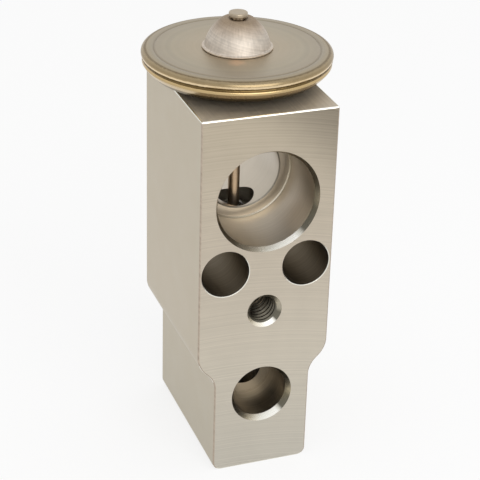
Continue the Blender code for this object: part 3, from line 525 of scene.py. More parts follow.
class Finishes:
    """Every finish of the valve, built once."""

    def __init__(self) -> None:
        """Builds the materials."""
        self.milled = MilledFace(
            "milled_face", (0.545, 0.495, 0.405), 0.40, Lay.MILLED, 0.00028, 0.16, 0.000002,
            0.03, 0.003,
            Ramp(
                Measure.HEIGHT,
                (
                    (0.0, (0.510, 0.480, 0.415)),
                    (0.025, (0.550, 0.500, 0.415)),
                    (0.045, (0.510, 0.450, 0.365)),
                    (0.072, (0.445, 0.385, 0.295)),
                ),
            ),
        ).material()
        self.drawn = Metal(
            "drawn_skin", (0.55, 0.49, 0.385), 0.42, Lay.DRAWN, 0.0004, 0.03, 0.0000015, 0.03,
            0.005,
            Ramp(
                Measure.HEIGHT,
                (
                    (0.0, (0.475, 0.430, 0.340)),
                    (0.012, (0.505, 0.455, 0.360)),
                    (0.03, (0.535, 0.475, 0.375)),
                    (0.072, (0.535, 0.475, 0.370)),
                ),
            ),
        ).material()
        self.faced = Metal(
            "faced_end", (0.58, 0.52, 0.43), 0.62, Lay.DRAWN, 0.0003, 0.16, 0.000006, 0.08, 0.001
        ).material()
        # Darker than the faces: painted shade on the edge breaks that face sideways, with dark
        # flecks along them.
        self.rubbed = Metal(
            "side_edge_painted_shade", (0.43, 0.36, 0.29), 0.45, Lay.DRAWN, 0.0009, 0.30, 0.000002, 0.10, 0.001
        ).material()
        self.bored = Metal(
            "bored_wall", (0.53, 0.475, 0.395), 0.34, Lay.PORT, 0.0005, 0.10, 0.000003, 0.06
        ).material()
        # Darker than the bored walls: painted shade inside the drilled holes.
        self.drilled = Metal(
            "drilled_wall", (0.36, 0.32, 0.26), 0.34, Lay.PORT, 0.0005, 0.22, 0.000010, 0.08
        ).material()
        # Much lighter than the faces: a painted highlight on the edge breaks, lips and lead-ins
        # that take it.
        self.chamfer = Metal(
            "cut_edge", (0.80, 0.78, 0.70), 0.20, Lay.PORT, 0.0002, 0.03, 0.000001, 0.03
        ).material()
        # Nearly black: painted shade in the thread's roots.
        self.root = Metal(
            "thread_root", (0.13, 0.12, 0.095), 0.30, Lay.TURNED, 0.0003, 0.10, 0.000002, 0.05
        ).material()
        # The lead-ins, with a painted reflection round the front bores.
        self.mouth = PaintedReflectionMouth(
            "port_mouth_painted_reflection", (0.56, 0.51, 0.42), 0.25, Lay.PORT, 0.0002, 0.05, 0.000001, 0.06, 0.002
        ).material()
        # Darker than the bores: painted shade in the recesses along the valve axis and on the
        # suction passage's lip.
        self.deep = Metal(
            "deep_bore", (0.36, 0.34, 0.30), 0.34, Lay.TURNED, 0.0006, 0.20, 0.000005, 0.05
        ).material()
        # The lid, with a painted reflection of the boss in front of it.
        self.disc = SolderedLid(
            "satin_disc", (0.34, 0.295, 0.22), 0.40, Lay.TURNED, 0.0010, 0.10, 0.000002, 0.04,
            0.004,
            # Darker in the pressed ring's groove as painted shade, and darker where the rounded
            # edge begins.
            Ramp(
                Measure.RADIUS,
                (
                    (0.0, (0.42, 0.35, 0.25)),
                    (0.0085, (0.42, 0.355, 0.26)),
                    (0.0120, (0.385, 0.335, 0.25)),
                    (0.01475, (0.365, 0.315, 0.24)),
                    (0.01500, (0.27, 0.225, 0.165)),
                    (0.01530, (0.36, 0.315, 0.24)),
                    (0.01625, (0.37, 0.31, 0.215)),
                    (0.01648, (0.20, 0.150, 0.085)),
                    (0.0166, (0.19, 0.140, 0.075)),
                ),
            ),
        ).material()
        self.seam = Metal(
            "seam_heat_tint_painted_highlight_and_shade", (0.46, 0.31, 0.14), 0.26, Lay.TURNED, 0.0003, 0.1, 0.000002,
            0.12, 0.0015,
            # Heat tint on the lid's rounded edge, with a painted highlight across its middle,
            # painted shade at its foot beside the weld, and darker where it meets the flat top.
            Ramp(
                Measure.HEIGHT,
                (
                    (0.07645, (0.12, 0.075, 0.022)),
                    (0.07662, (0.20, 0.130, 0.045)),
                    (0.07676, (0.80, 0.64, 0.41)),
                    (0.07700, (0.74, 0.58, 0.36)),
                    (0.07714, (0.36, 0.270, 0.15)),
                    (0.07745, (0.29, 0.220, 0.125)),
                    (0.07762, (0.32, 0.250, 0.150)),
                    (0.07774, (0.34, 0.265, 0.160)),
                    (0.07784, (0.19, 0.140, 0.075)),
                ),
                0.00009,
                0.0007,
            ),
        ).material()
        # Dark brown: the weld's heat tint, darkened further as painted shade in the groove between
        # lid and dish.
        self.weld = Metal(
            "edge_weld", (0.15, 0.100, 0.040), 0.30, Lay.TURNED, 0.0003, 0.1, 0.000002, 0.5, 0.0009
        ).material()
        self.dish = Metal(
            "dish_heat_tint_and_painted_shade", (0.46, 0.36, 0.20), 0.28, Lay.TURNED, 0.0004, 0.04, 0.0000015,
            0.06, 0.003,
            # Heat tint: the rim band lifted by a painted highlight along its lower edge, the
            # underside below it darkened as painted shade; the neck is plain steel.
            Ramp(
                Measure.HEIGHT,
                (
                    (0.0664, (0.50, 0.46, 0.40)),
                    (0.0722, (0.12, 0.09, 0.045)),
                    (0.0740, (0.16, 0.12, 0.055)),
                    (0.07455, (0.22, 0.16, 0.07)),
                    (0.0748, (0.60, 0.47, 0.29)),
                    (0.0752, (0.60, 0.47, 0.29)),
                    (0.0756, (0.50, 0.37, 0.19)),
                    (0.0761, (0.60, 0.44, 0.22)),
                ),
                0.00005,
                0.0015,
            ),
        ).material()
        self.solder = Metal(
            "brushed_solder", (0.60, 0.54, 0.47), 0.58, Lay.BRUSHED, 0.0003, 0.42, 0.00002,
            0.16, 0.0012,
            Ramp(
                Measure.HEIGHT,
                (
                    (0.0781, (0.60, 0.49, 0.37)),
                    (0.0784, (0.60, 0.54, 0.47)),
                    (0.0808, (0.58, 0.52, 0.45)),
                    (0.0822, (0.46, 0.385, 0.31)),
                    (0.0832, (0.34, 0.265, 0.19)),
                ),
                0.0002,
                0.0010,
            ),
        ).material()
        self.plug = Metal(
            "plug_steel", (0.42, 0.35, 0.26), 0.34, Lay.TURNED, 0.0003, 0.10, 0.000002, 0.16, 0.001
        ).material()
        self.rod = Metal(
            "worn_rod", (0.42, 0.33, 0.24), 0.34, Lay.TURNED, 0.0003, 0.10, 0.0000015, 0.25, 0.002
        ).material()
        self.steel = Metal(
            "ground_steel", (0.50, 0.45, 0.38), 0.20, Lay.TURNED, 0.0003, 0.10, 0.0000015, 0.20,
            0.002,
        ).material()
        self.spring = Metal(
            "spring_steel", (0.30, 0.29, 0.27), 0.30, Lay.TURNED, 0.0004, 0.08, 0.000002, 0.12,
            0.001,
        ).material()
        self.brass = Metal(
            "turned_brass", (0.71, 0.52, 0.24), 0.28, Lay.TURNED, 0.0002, 0.08, 0.000002, 0.06
        ).material()
        self.rubber = Rubber("seal_rubber", (0.020, 0.030, 0.025)).material()


def rounded(corners: Sequence[Corner], steps: int = 5, closed: bool = False) -> list[Point]:
    """Rounds the corners of an outline.

    Args:
        corners: Points of (radius, height, fillet).
        steps: Spans in each fillet.
        closed: Whether the outline joins its last point to its first.

    Returns:
        The outline's points.
    """
    points: list[Point] = []
    count = len(corners)
    for i, (radius, height, fillet) in enumerate(corners):
        inside = closed or 0 < i < count - 1
        if fillet <= 0 or not inside:
            points.append((radius, height))
            continue
        here = Vector((radius, height))
        back = Vector(corners[i - 1][:2]) - here
        ahead = Vector(corners[(i + 1) % count][:2]) - here
        angle = back.angle(ahead)
        reach = min(fillet / math.tan(angle / 2), 0.49 * back.length, 0.49 * ahead.length)
        round_radius = reach * math.tan(angle / 2)
        back.normalize()
        ahead.normalize()
        centre = here + (back + ahead).normalized() * (round_radius / math.sin(angle / 2))
        first = here + back * reach - centre
        turn = first.angle_signed(here + ahead * reach - centre)
        for step in range(steps + 1):
            spoke = first.copy()
            spoke.rotate(Matrix.Rotation(-turn * step / steps, 2))
            points.append(tuple(centre + spoke))
    return points


def arc(centre: Point, radius: float, start: float, end: float, steps: int) -> list[Point]:
    """Points on an arc between two angles in radians."""
    angles = [start + (end - start) * i / steps for i in range(steps + 1)]
    return [(centre[0] + radius * math.cos(a), centre[1] + radius * math.sin(a)) for a in angles]


def smooth_through(points: Sequence[Point], spans: int) -> list[Point]:
    """A Catmull-Rom curve through the points, with this many spans between neighbours."""
    padded = [points[0], *points, points[-1]]
    curve: list[Point] = []
    for i in range(1, len(padded) - 2):
        group = padded[i - 1 : i + 3]
        for step in range(spans):
            t = step / spans
            curve.append(
                tuple(
                    0.5
                    * (
                        2 * b
                        + (c - a) * t
                        + (2 * a - 5 * b + 4 * c - d) * t**2
                        + (3 * b - a - 3 * c + d) * t**3
                    )
                    for a, b, c, d in zip(*group)
                )
            )
    curve.append(points[-1])
    return curve


def thread_outline(radius: float, depth: float, top: float, bottom: float) -> list[Point]:
    """Crests and roots of a thread seen from the side, from its top down."""
    crest_start, crest_end = 0.42 * THREAD_PITCH, 0.58 * THREAD_PITCH
    turns = int((top - bottom) / THREAD_PITCH)
    points: list[Point] = []
    for i in range(turns):
        level = top - i * THREAD_PITCH
        points += [
            (radius - depth, level),
            (radius, level - crest_start),
            (radius, level - crest_end),
        ]
    points.append((radius - depth, top - turns * THREAD_PITCH))
    return points


def stepped(start: float, steps: Sequence[Point]) -> list[Point]:
    """A stepped bore's outline from its start down, from each step's radius and floor."""
    points = [(0.0, start)]
    for radius, floor in steps:
        points += [(radius, points[-1][1]), (radius, floor)]
    return points


def turned(
    name: str,
    outline: Sequence[Point],
    steps: int = ROUND,
    ring: bool = False,
    bands: Optional[Sequence[int]] = None,
) -> bpy.types.Mesh:
    """Turns an outline of (radius, height) points about Z.

    Args:
        name: The mesh's name.
        outline: Its points. They start and end on the axis, unless ring is set.
        steps: Faces around the axis.
        ring: Whether the outline closes on itself away from the axis.
        bands: A material number for each span of the outline.

    Returns:
        The closed mesh, with its faces outwards.
    """
    shell = bmesh.new()
    rings = []
    for radius, height in outline:
        if radius < TINY:
            rings.append([shell.verts.new((0.0, 0.0, height))])
            continue
        angles = [2 * math.pi * i / steps for i in range(steps)]
        rings.append(
            [shell.verts.new((radius * math.cos(a), radius * math.sin(a), height)) for a in angles]
        )
    pairs = list(zip(rings, rings[1:]))
    if ring:
        pairs.append((rings[-1], rings[0]))
    for band, (upper, lower) in enumerate(pairs):
        for i in range(steps):
            j = (i + 1) % steps
            corners = [
                upper[i % len(upper)],
                upper[j % len(upper)],
                lower[j % len(lower)],
                lower[i % len(lower)],
            ]
            face = shell.faces.new(list(dict.fromkeys(corners)))
            face.material_index = bands[band] if bands else 0
    bmesh.ops.recalc_face_normals(shell, faces=shell.faces)
    return to_mesh(name, shell)


def to_mesh(name: str, shell: bmesh.types.BMesh) -> bpy.types.Mesh:
    """Turns a BMesh into a mesh and frees it."""
    mesh = bpy.data.meshes.new(name)
    shell.to_mesh(mesh)
    shell.free()
    return mesh


def put(name: str, mesh: bpy.types.Mesh) -> bpy.types.Object:
    """Puts a mesh in the scene."""
    obj = bpy.data.objects.new(name, mesh)
    bpy.context.scene.collection.objects.link(obj)
    return obj


def settled(obj: bpy.types.Object) -> bpy.types.Object:
    """Replaces an object's mesh by what its modifiers make of it, and removes them."""
    graph = bpy.context.evaluated_depsgraph_get()
    evaluated = obj.evaluated_get(graph)
    mesh = bpy.data.meshes.new_from_object(
        evaluated, preserve_all_data_layers=True, depsgraph=graph
    )
    obj.modifiers.clear()
    obj.data = mesh
    return obj


def smoothed(obj: bpy.types.Object) -> bpy.types.Object:
    """Smooths an object's faces between sharp edges, with flat faces kept flat."""
    obj.data.shade_smooth()
    obj.data.set_sharp_from_angle(angle=SHARP_ANGLE)
    weights = obj.modifiers.new("weights", "WEIGHTED_NORMAL")
    weights.keep_sharp = True
    weights.weight = 100
    return settled(obj)


def piece(
    name: str,
    mesh: bpy.types.Mesh,
    finish: Optional[bpy.types.Material],
    body: str,
    slot: str,
    *nodes: str,
) -> bpy.types.Object:
    """Finishes a piece and ties it to the frame.

    Args:
        name: The piece's name.
        mesh: Its mesh, in place.
        finish: Its material, or None where the mesh has its own.
        body: The body that it rides on.
        slot: The record's slot of its finish. It is not used.
        *nodes: The solids that it stands for.

    Returns:
        The piece.
    """
    if finish is not None:
        mesh.materials.append(finish)
    obj = smoothed(put(name, mesh))
    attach(obj, body)
    if nodes:
        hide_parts(*nodes)
    LOG.info("%s: %d faces on %s", name, len(obj.data.polygons), body)
    return obj


def cut(target: bpy.types.Object, cutters: Sequence[bpy.types.Mesh]) -> bpy.types.Object:
    """Cuts an object with meshes, one after the other, and keeps each face's material number."""
    helpers = []
    for mesh in cutters:
        helper = put("cutter", mesh)
        helper.hide_render = True
        boolean = target.modifiers.new("cut", "BOOLEAN")
        boolean.operation = "DIFFERENCE"
        boolean.solver = "EXACT"
        boolean.material_mode = "INDEX"
        boolean.object = helper
        helpers.append(helper)
    settled(target)
    for helper in helpers:
        bpy.data.objects.remove(helper, do_unlink=True)
    return target


class Recipe(Graph):
    """A Geometry Nodes tree with named inputs, which is turned into a plain mesh."""

    def __init__(self, name: str, seed: Optional[bpy.types.Mesh] = None) -> None:
        """Starts the tree.

        Args:
            name: The tree's name.
            seed: The mesh that goes into it, if it takes one.
        """
        super().__init__(bpy.data.node_groups.new(name, "GeometryNodeTree"))
        self.tree.interface.new_socket(
            "Geometry", in_out="OUTPUT", socket_type="NodeSocketGeometry"
        )
        self.tree.interface.new_socket(
            "Geometry", in_out="INPUT", socket_type="NodeSocketGeometry"
        )
        self.entry = self.tree.nodes.new("NodeGroupInput")
        self.seed = seed or bpy.data.meshes.new(name)
        self.sizes: dict[str, Any] = {}

    @property
    def shape(self) -> Signal:
        """The mesh that goes into the tree."""
        return Signal(self, self.entry.outputs[0])

    def given(self, name: str, value: float) -> Signal:
        """Adds a named input: a count where the value is a whole number, or else a length."""
        kind = "NodeSocketInt" if isinstance(value, int) else "NodeSocketFloat"
        socket = self.tree.interface.new_socket(name, in_out="INPUT", socket_type=kind)
        self.sizes[socket.identifier] = value
        return Signal(self, self.entry.outputs[name])

    def made(self, shape: Signal, finish: bpy.types.Material) -> bpy.types.Mesh:
        """Ends the tree and runs it.

        Args:
            shape: What the tree made.
            finish: Its material.

        Returns:
            A plain mesh.
        """
        real = self.signal("GeometryNodeRealizeInstances", 0, {0: shape})
        dressed = self.signal("GeometryNodeSetMaterial", 0, {0: real, "Material": finish})
        self.node("NodeGroupOutput", {0: dressed})
        carrier = put(self.tree.name, self.seed)
        modifier = carrier.modifiers.new("recipe", "NODES")
        modifier.node_group = self.tree
        for identifier, value in self.sizes.items():
            modifier[identifier] = value
        mesh = settled(carrier).data
        bpy.data.objects.remove(carrier, do_unlink=True)
        return mesh


def outward(mesh: bpy.types.Mesh) -> bpy.types.Mesh:
    """Turns a closed mesh's faces outwards."""
    shell = bmesh.new()
    shell.from_mesh(mesh)
    bmesh.ops.recalc_face_normals(shell, faces=shell.faces)
    shell.to_mesh(mesh)
    shell.free()
    return mesh


def coil(
    name: str,
    radius: float,
    wire: float,
    turns: int,
    heights: Sequence[float],
    finish: bpy.types.Material,
    sides: int = 14,
) -> bpy.types.Mesh:
    """Coils a wire about Z, with end turns that climb less than the others.

    Args:
        name: The recipe's name.
        radius: The coil's mean radius.
        wire: The wire's radius.
        turns: How many turns it has.
        heights: The bottom, the climb of each end turn, and the top, along the wire's middle.
        finish: Its material.
        sides: Faces around the wire.

    Returns:
        The coil's mesh.
    """
    recipe = Recipe(name)
    count = recipe.given("Turns", float(turns))
    mean = recipe.given("Mean radius", radius)
    thickness = recipe.given("Wire radius", wire)
    bottom, climb, top = (
        recipe.given(label, value) for label, value in zip(("Bottom", "End climb", "Top"), heights)
    )
    spiral = recipe.signal(
        "GeometryNodeCurveSpiral",
        0,
        {
            "Resolution": 48,
            "Rotations": count,
            "Start Radius": mean,
            "End Radius": mean,
            "Height": 0.001,
        },
    )
    turn = recipe.signal("GeometryNodeSplineParameter", "Factor") * count
    first = recipe.math("MINIMUM", turn, 1.0)
    last = recipe.math("MAXIMUM", turn - (count - 1), 0.0)
    middle = turn - first - last
    rise = (top - bottom - 2 * climb) / (count - 2)
    height = bottom + climb * (first + last) + rise * middle
    x, y, _ = recipe.apart(recipe.signal("GeometryNodeInputPosition", 0))
    path = recipe.signal(
        "GeometryNodeSetPosition", 0, {0: spiral, "Position": recipe.joined(x, y, height)}
    )
    upright = recipe.signal("GeometryNodeSetCurveNormal", 0, {0: path}, mode="Z_UP")
    profile = recipe.signal(
        "GeometryNodeCurvePrimitiveCircle", 0, {"Resolution": sides, "Radius": thickness}
    )
    tube = recipe.signal(
        "GeometryNodeCurveToMesh",
        0,
        {"Curve": upright, "Profile Curve": profile, "Fill Caps": True},
    )
    return outward(recipe.made(tube, finish))


def ring_of(
    name: str, seed: bpy.types.Mesh, count: int, first_angle: float, finish: bpy.types.Material
) -> bpy.types.Mesh:
    """Repeats a mesh about Z and joins the copies where they meet.

    Args:
        name: The recipe's name.
        seed: The mesh to repeat.
        count: How many copies there are.
        first_angle: The turn of the first copy, in radians.
        finish: Its material.

    Returns:
        The ring's mesh.
    """
    recipe = Recipe(name, seed)
    copies = recipe.given("Copies", count)
    start = recipe.given("First angle", first_angle)
    points = recipe.signal("GeometryNodeMeshLine", 0, {"Count": copies, "Offset": (0.0, 0.0, 0.0)})
    angle = start + recipe.signal("GeometryNodeInputIndex", 0) * (2 * math.pi) / copies
    placed = recipe.signal(
        "GeometryNodeInstanceOnPoints",
        0,
        {
            "Points": points,
            "Instance": recipe.shape,
            "Rotation": recipe.joined(0.0, 0.0, angle),
        },
    )
    real = recipe.signal("GeometryNodeRealizeInstances", 0, {0: placed})
    joined = recipe.signal("GeometryNodeMergeByDistance", 0, {0: real, "Distance": 0.000002})
    return recipe.made(joined, finish)


def leaf_sector(
    name: str, rim: Sequence[Point], leaf: Sequence[Point], sectors: int, slot: float
) -> bpy.types.Mesh:
    """One sector of a slotted ring of sheet, as an open surface.

    Args:
        name: The mesh's name.
        rim: Stations of (radius, height) of the part that goes all the way round.
        leaf: Stations from the rim's last one out to the leaf's tip.
        sectors: How many sectors the ring has.
        slot: The width of the slot between two leaves.

    Returns:
        The sector's mesh, about +X.
    """
    half = math.pi / sectors
    spans = 8
    shell = bmesh.new()

    def row(station: Point, root: float, whole: bool) -> list[bmesh.types.BMVert]:
        """One line of vertices across the sector."""
        radius, height = station
        reach = half - math.asin(slot / 2 / root)
        angles = [reach * (2 * i / spans - 1) for i in range(spans + 1)]
        if whole:
            angles = [-half, *angles, half]
        return [
            shell.verts.new((radius * math.cos(a), radius * math.sin(a), height)) for a in angles
        ]

    root = rim[-1][0]
    rows = [row(station, root, True) for station in rim]
    rows.append(rows[-1][1:-1])
    rows += [row(station, station[0], False) for station in leaf]
    for upper, lower in zip(rows, rows[1:]):
        if len(upper) != len(lower):
            continue
        for i in range(len(upper) - 1):
            shell.faces.new((upper[i], upper[i + 1], lower[i + 1], lower[i]))
    bmesh.ops.recalc_face_normals(shell, faces=shell.faces)
    return to_mesh(name, shell)


def sheet_piece(name: str, mesh: bpy.types.Mesh, thickness: float) -> bpy.types.Mesh:
    """Gives an open surface a wall, centred on it, with its edges just broken."""
    obj = put(name, mesh)
    wall = obj.modifiers.new("wall", "SOLIDIFY")
    wall.thickness = thickness
    wall.offset = 0.0
    wall.use_even_offset = True
    edge = obj.modifiers.new("edge", "BEVEL")
    edge.width = thickness * 0.16
    edge.segments = 2
    edge.limit_method = "ANGLE"
    edge.angle_limit = math.radians(50)
    solid = settled(obj).data
    bpy.data.objects.remove(obj, do_unlink=True)
    return solid


def cord_ring(name: str, node: str) -> bpy.types.Mesh:
    """A ring of round cord in the place of a solid."""
    low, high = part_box(node)
    cord = (high.z - low.z) / 2
    centre = (high.x - cord, (high.z + low.z) / 2)
    outline = arc(centre, cord, 0.0, -2 * math.pi, 20)[:-1]
    return turned(name, outline, ROUND, ring=True)


class Band(Enum):
    """The material numbers of the block, named as the finishes are."""

    MILLED = 0
    DRAWN = 1
    BORED = 2
    DRILLED = 3
    CHAMFER = 4
    DEEP = 5
    FACED = 6
    RUBBED = 7
    MOUTH = 8
    ROOT = 9


@dataclass
class Block:
    """The machined block, cut from one length of stepped bar.

    Attributes:
        suction_lead: The width and depth of the lead-in at each suction port.
        liquid_lead: The same at each liquid port.
        stud_lead: The same at the tapped hole.
        head_steps: The radius and the floor of each step under the head, from the top down.
        rod_steps: The same along the rod, from the suction passage down.
        chamber_steps: The same in the valve chamber, from the outlet down.
    """

    finishes: Finishes
    width: float = 0.0254
    step_width: float = 0.00335
    foot_corner: float = 0.0016
    step_start: float = 0.0181
    step_hollow: float = 0.0046
    step_shoulder: float = 0.0050
    edge_break: float = 0.00025
    suction_height: float = 0.0554
    suction_port: float = 0.0092
    suction_passage: float = 0.0073
    suction_depth: float = 0.0138
    suction_rear_depth: float = 0.0080
    suction_lead: Point = (0.0006, 0.00104)
    suction_relief: float = 0.0003
    suction_relief_length: float = 0.0022
    suction_lip: float = 0.00022
    bolt_height: float = 0.0421
    bolt_x: float = 0.0077
    bolt_radius: float = 0.0045
    bolt_break: float = 0.00012
    stud_height: float = 0.0334
    stud_radius: float = 0.00255
    stud_depth: float = 0.0120
    stud_lead: Point = (0.0008, 0.00085)
    stud_turns: int = 12
    stud_thread_depth: float = 0.00038
    stud_thread_inset: float = 0.00005
    liquid_port: float = 0.0052
    liquid_lead: Point = (0.0007, 0.0012)
    inlet_height: float = 0.0155
    inlet_depth: float = 0.0095
    inlet_hole: float = 0.0033
    outlet_height: float = 0.0289
    outlet_past_axis: float = 0.0010
    head_break: float = 0.0003
    foot_lead_radius: float = 0.0069
    head_steps: tuple[Point, ...] = ((0.0107, 0.0705), (0.0089, 0.0659), (0.0055, 0.0554))
    rod_steps: tuple[Point, ...] = (
        (0.0038, 0.0456), (0.002575, 0.0434), (0.002125, 0.0357), (0.001275, 0.0222)
    )
    chamber_steps: tuple[Point, ...] = (
        (0.0017, 0.0223), (0.0035, 0.0204), (0.0052, 0.0086), (0.0059, 0.0057), (0.0062, 0.0007)
    )

    def __post_init__(self) -> None:
        """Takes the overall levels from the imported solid."""
        low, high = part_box("valve_block")
        self.front, self.back, self.top = -low.y, high.y, high.z

    def section(self) -> list[Point]:
        """The bar's section, seen from the front."""
        half = self.width / 2
        foot = half - self.step_width
        slope = math.radians(45)
        hollow = arc(
            (foot + self.step_hollow, self.step_start), self.step_hollow,
            math.pi, math.pi - slope, 14,
        )
        start_x, start_z = hollow[-1]
        centre_x = half - self.step_shoulder
        end_x = centre_x + self.step_shoulder * math.cos(slope)
        end_z = start_z + (end_x - start_x) / math.tan(slope)
        centre_z = end_z + self.step_shoulder * math.sin(slope)
        shoulder = arc((centre_x, centre_z), self.step_shoulder, -slope, 0.0, 14)
        corner = arc(
            (foot - self.foot_corner, self.foot_corner), self.foot_corner, -math.pi / 2, 0.0, 10
        )
        right = [*corner, *hollow, *shoulder, (half, self.top)]
        return right + [(-x, z) for x, z in reversed(right)]

    def bar(self) -> bpy.types.Mesh:
        """The bar's length between the two machined faces, with its edges broken."""
        shell = bmesh.new()
        front = [shell.verts.new((x, -self.front, z)) for x, z in self.section()]
        back = [shell.verts.new((x, self.back, z)) for x, z in self.section()]
        shell.faces.new(front).material_index = Band.MILLED.value
        shell.faces.new(list(reversed(back))).material_index = Band.MILLED.value
        count = len(front)
        for i in range(count):
            j = (i + 1) % count
            side = shell.faces.new((front[j], front[i], back[i], back[j]))
            side.material_index = Band.DRAWN.value
        bmesh.ops.recalc_face_normals(shell, faces=shell.faces)
        for face in shell.faces:
            if abs(face.normal.z) > 0.999:
                face.material_index = Band.FACED.value
        sharp = [edge for edge in shell.edges if edge.calc_face_angle() > math.radians(40)]
        bmesh.ops.bevel(
            shell,
            geom=sharp,
            offset=self.edge_break,
            offset_type="OFFSET",
            segments=2,
            profile=0.5,
            affect="EDGES",
            clamp_overlap=True,
            material=Band.CHAMFER.value,
        )
        # Edge breaks that face sideways take the darker finish as painted shade; the rest keep the
        # lighter one as painted highlight.
        for face in shell.faces:
            if face.material_index == Band.CHAMFER.value and abs(face.normal.z) < 0.3:
                face.material_index = Band.RUBBED.value
        return to_mesh("block", shell)

    def bore(
        self, corners: Sequence[BorePoint], height: float, back: bool = False, x: float = 0.0,
        steps: int = ROUND,
    ) -> bpy.types.Mesh:
        """A cutter along Y.

        Args:
            corners: Points of (radius, distance from the valve axis, finish of the span after).
            height: The bore's height over the foot.
            back: Whether the distances run towards the back.
            x: How far the bore lies to the right.
            steps: Faces around it.

        Returns:
            The cutter's mesh, in place.
        """
        outline = [(radius, along) for radius, along, _ in corners]
        bands = [band.value for _, _, band in corners]
        mesh = turned("bore", outline, steps, bands=bands)
        turn = -math.pi / 2 if back else math.pi / 2
        mesh.transform(Matrix.Translation((x, 0.0, height)) @ Matrix.Rotation(turn, 4, "X"))
        return mesh

    @staticmethod
    def mouth(radius: float, lead: Point, face: float, wall: Band) -> list[BorePoint]:
        """The first points of a bore, through the lead-in at its mouth."""
        width, depth = lead
        flare = width * (depth + OVERCUT) / depth
        return [
            (0.0, face + OVERCUT, wall),
            (radius + flare, face + OVERCUT, Band.MOUTH),
            (radius, face - depth, wall),
        ]

    def suction(self) -> list[bpy.types.Mesh]:
        """The suction passage, from the front and from the back."""
        port, passage = self.suction_port, self.suction_passage
        shoulder = self.front - self.suction_depth
        rear = self.back - self.suction_rear_depth
        wall, edge = Band.BORED, Band.CHAMFER
        relief, lip = self.suction_relief, self.suction_lip
        relief_start = shoulder + self.suction_relief_length
        front = [
            *self.mouth(port, self.suction_lead, self.front, wall),
            (port, relief_start, wall),
            (port + relief, relief_start - relief, wall),
            # The shoulder's outer lip takes the lighter edge finish, a painted highlight, and the
            # passage's lip the deep one, painted shade.
            (port + relief, shoulder + lip, edge),
            (port + relief - lip, shoulder, wall),
            (passage + lip, shoulder, Band.DEEP),
            (passage, shoulder - lip, wall),
            (passage, -2 * OVERCUT, wall),
            (0.0, -2 * OVERCUT, wall),
        ]
        back = [
            *self.mouth(port, self.suction_lead, self.back, wall),
            (port, rear, wall),
            (passage + lip, rear, edge),
            (passage, rear - lip, wall),
            (passage, 0.0, wall),
            (0.0, 0.0, wall),
        ]
        return [
            self.bore(front, self.suction_height, steps=FINE_ROUND),
            self.bore(back, self.suction_height, back=True, steps=FINE_ROUND),
        ]

    def liquid(self) -> list[bpy.types.Mesh]:
        """The liquid inlet in front and the outlet behind."""
        port, wall = self.liquid_port, Band.DRILLED
        floor = self.front - self.inlet_depth
        inlet = [
            *self.mouth(port, self.liquid_lead, self.front, wall),
            (port, floor, wall),
            (self.inlet_hole, floor, wall),
            (self.inlet_hole, 0.0, wall),
            (0.0, 0.0, wall),
        ]
        tip = port / math.tan(DRILL_HALF_ANGLE)
        outlet = [
            *self.mouth(port, self.liquid_lead, self.back, wall),
            (port, -self.outlet_past_axis, wall),
            (0.0, -self.outlet_past_axis - tip, wall),
        ]
        return [
            self.bore(inlet, self.inlet_height, steps=120),
            self.bore(outlet, self.outlet_height, back=True, steps=120),
        ]

    def bolts(self) -> list[bpy.types.Mesh]:
        """The two clearance holes, with a fine break at both mouths."""
        wall, edge = Band.DRILLED, Band.CHAMFER
        flare = self.bolt_radius + self.bolt_break + OVERCUT
        corners = [
            (0.0, self.front + OVERCUT, wall),
            (flare, self.front + OVERCUT, edge),
            (self.bolt_radius, self.front - self.bolt_break, wall),
            (self.bolt_radius, -self.back + self.bolt_break, edge),
            (flare, -self.back - OVERCUT, wall),
            (0.0, -self.back - OVERCUT, wall),
        ]
        return [self.bore(corners, self.bolt_height, x=x) for x in (-self.bolt_x, self.bolt_x)]

    def stud(self) -> list[bpy.types.Mesh]:
        """The tapped hole and the groove of its thread."""
        floor = self.front - self.stud_depth
        wall = Band.DRILLED
        hole = [
            *self.mouth(self.stud_radius, self.stud_lead, self.front, wall),
            (self.stud_radius, floor, Band.BORED),
            (0.0, floor - self.stud_radius / math.tan(DRILL_HALF_ANGLE), wall),
        ]
        start = -THREAD_PITCH
        end = self.stud_turns * THREAD_PITCH + start
        groove = coil(
            "stud_thread",
            self.stud_radius - self.stud_thread_inset,
            self.stud_thread_depth,
            self.stud_turns,
            (start, THREAD_PITCH, end),
            self.finishes.root,
            sides=4,
        )
        groove.transform(
            Matrix.Translation((0.0, -self.front, self.stud_height))
            @ Matrix.Rotation(-math.pi / 2, 4, "X")
        )
        groove.materials.clear()
        for face in groove.polygons:
            face.material_index = Band.ROOT.value
        return [self.bore(hole, self.stud_height, steps=64), groove]

    def upright(self) -> list[bpy.types.Mesh]:
        """The bores along the valve axis, from the top and from the foot."""
        top, suction = self.top, self.suction_height
        head = [
            (0.0, top + OVERCUT),
            (self.head_steps[0][0] + self.head_break + OVERCUT, top + OVERCUT),
            *stepped(top - self.head_break, self.head_steps)[1:],
            (0.0, suction),
        ]
        rod = [*stepped(suction, self.rod_steps), (0.0, self.rod_steps[-1][1])]
        chamber = [
            *stepped(self.outlet_height, self.chamber_steps),
            (self.foot_lead_radius + OVERCUT, -OVERCUT),
            (0.0, -OVERCUT),
        ]
        cutters = []
        for outline in (head, rod, chamber):
            bands = [Band.DEEP.value] * len(outline)
            if outline is not rod:
                bands[1 if outline is head else -2] = Band.CHAMFER.value
            cutters.append(turned("upright_bore", outline, ROUND, bands=bands))
        return cutters

    def build(self) -> None:
        """Builds the block."""
        materials = [getattr(self.finishes, band.name.lower()) for band in Band]
        bar = self.bar()
        for material in materials:
            bar.materials.append(material)
        block = put("block_raw", bar)
        cutters = [
            *self.suction(), *self.liquid(), *self.bolts(), *self.stud(), *self.upright()
        ]
        for mesh in cutters:
            for material in materials:
                mesh.materials.append(material)
        cut(block, cutters)
        mesh = block.data
        bpy.data.objects.remove(block, do_unlink=True)
        piece("block_body", mesh, None, HOUSING, "block_aluminium", "valve_block")


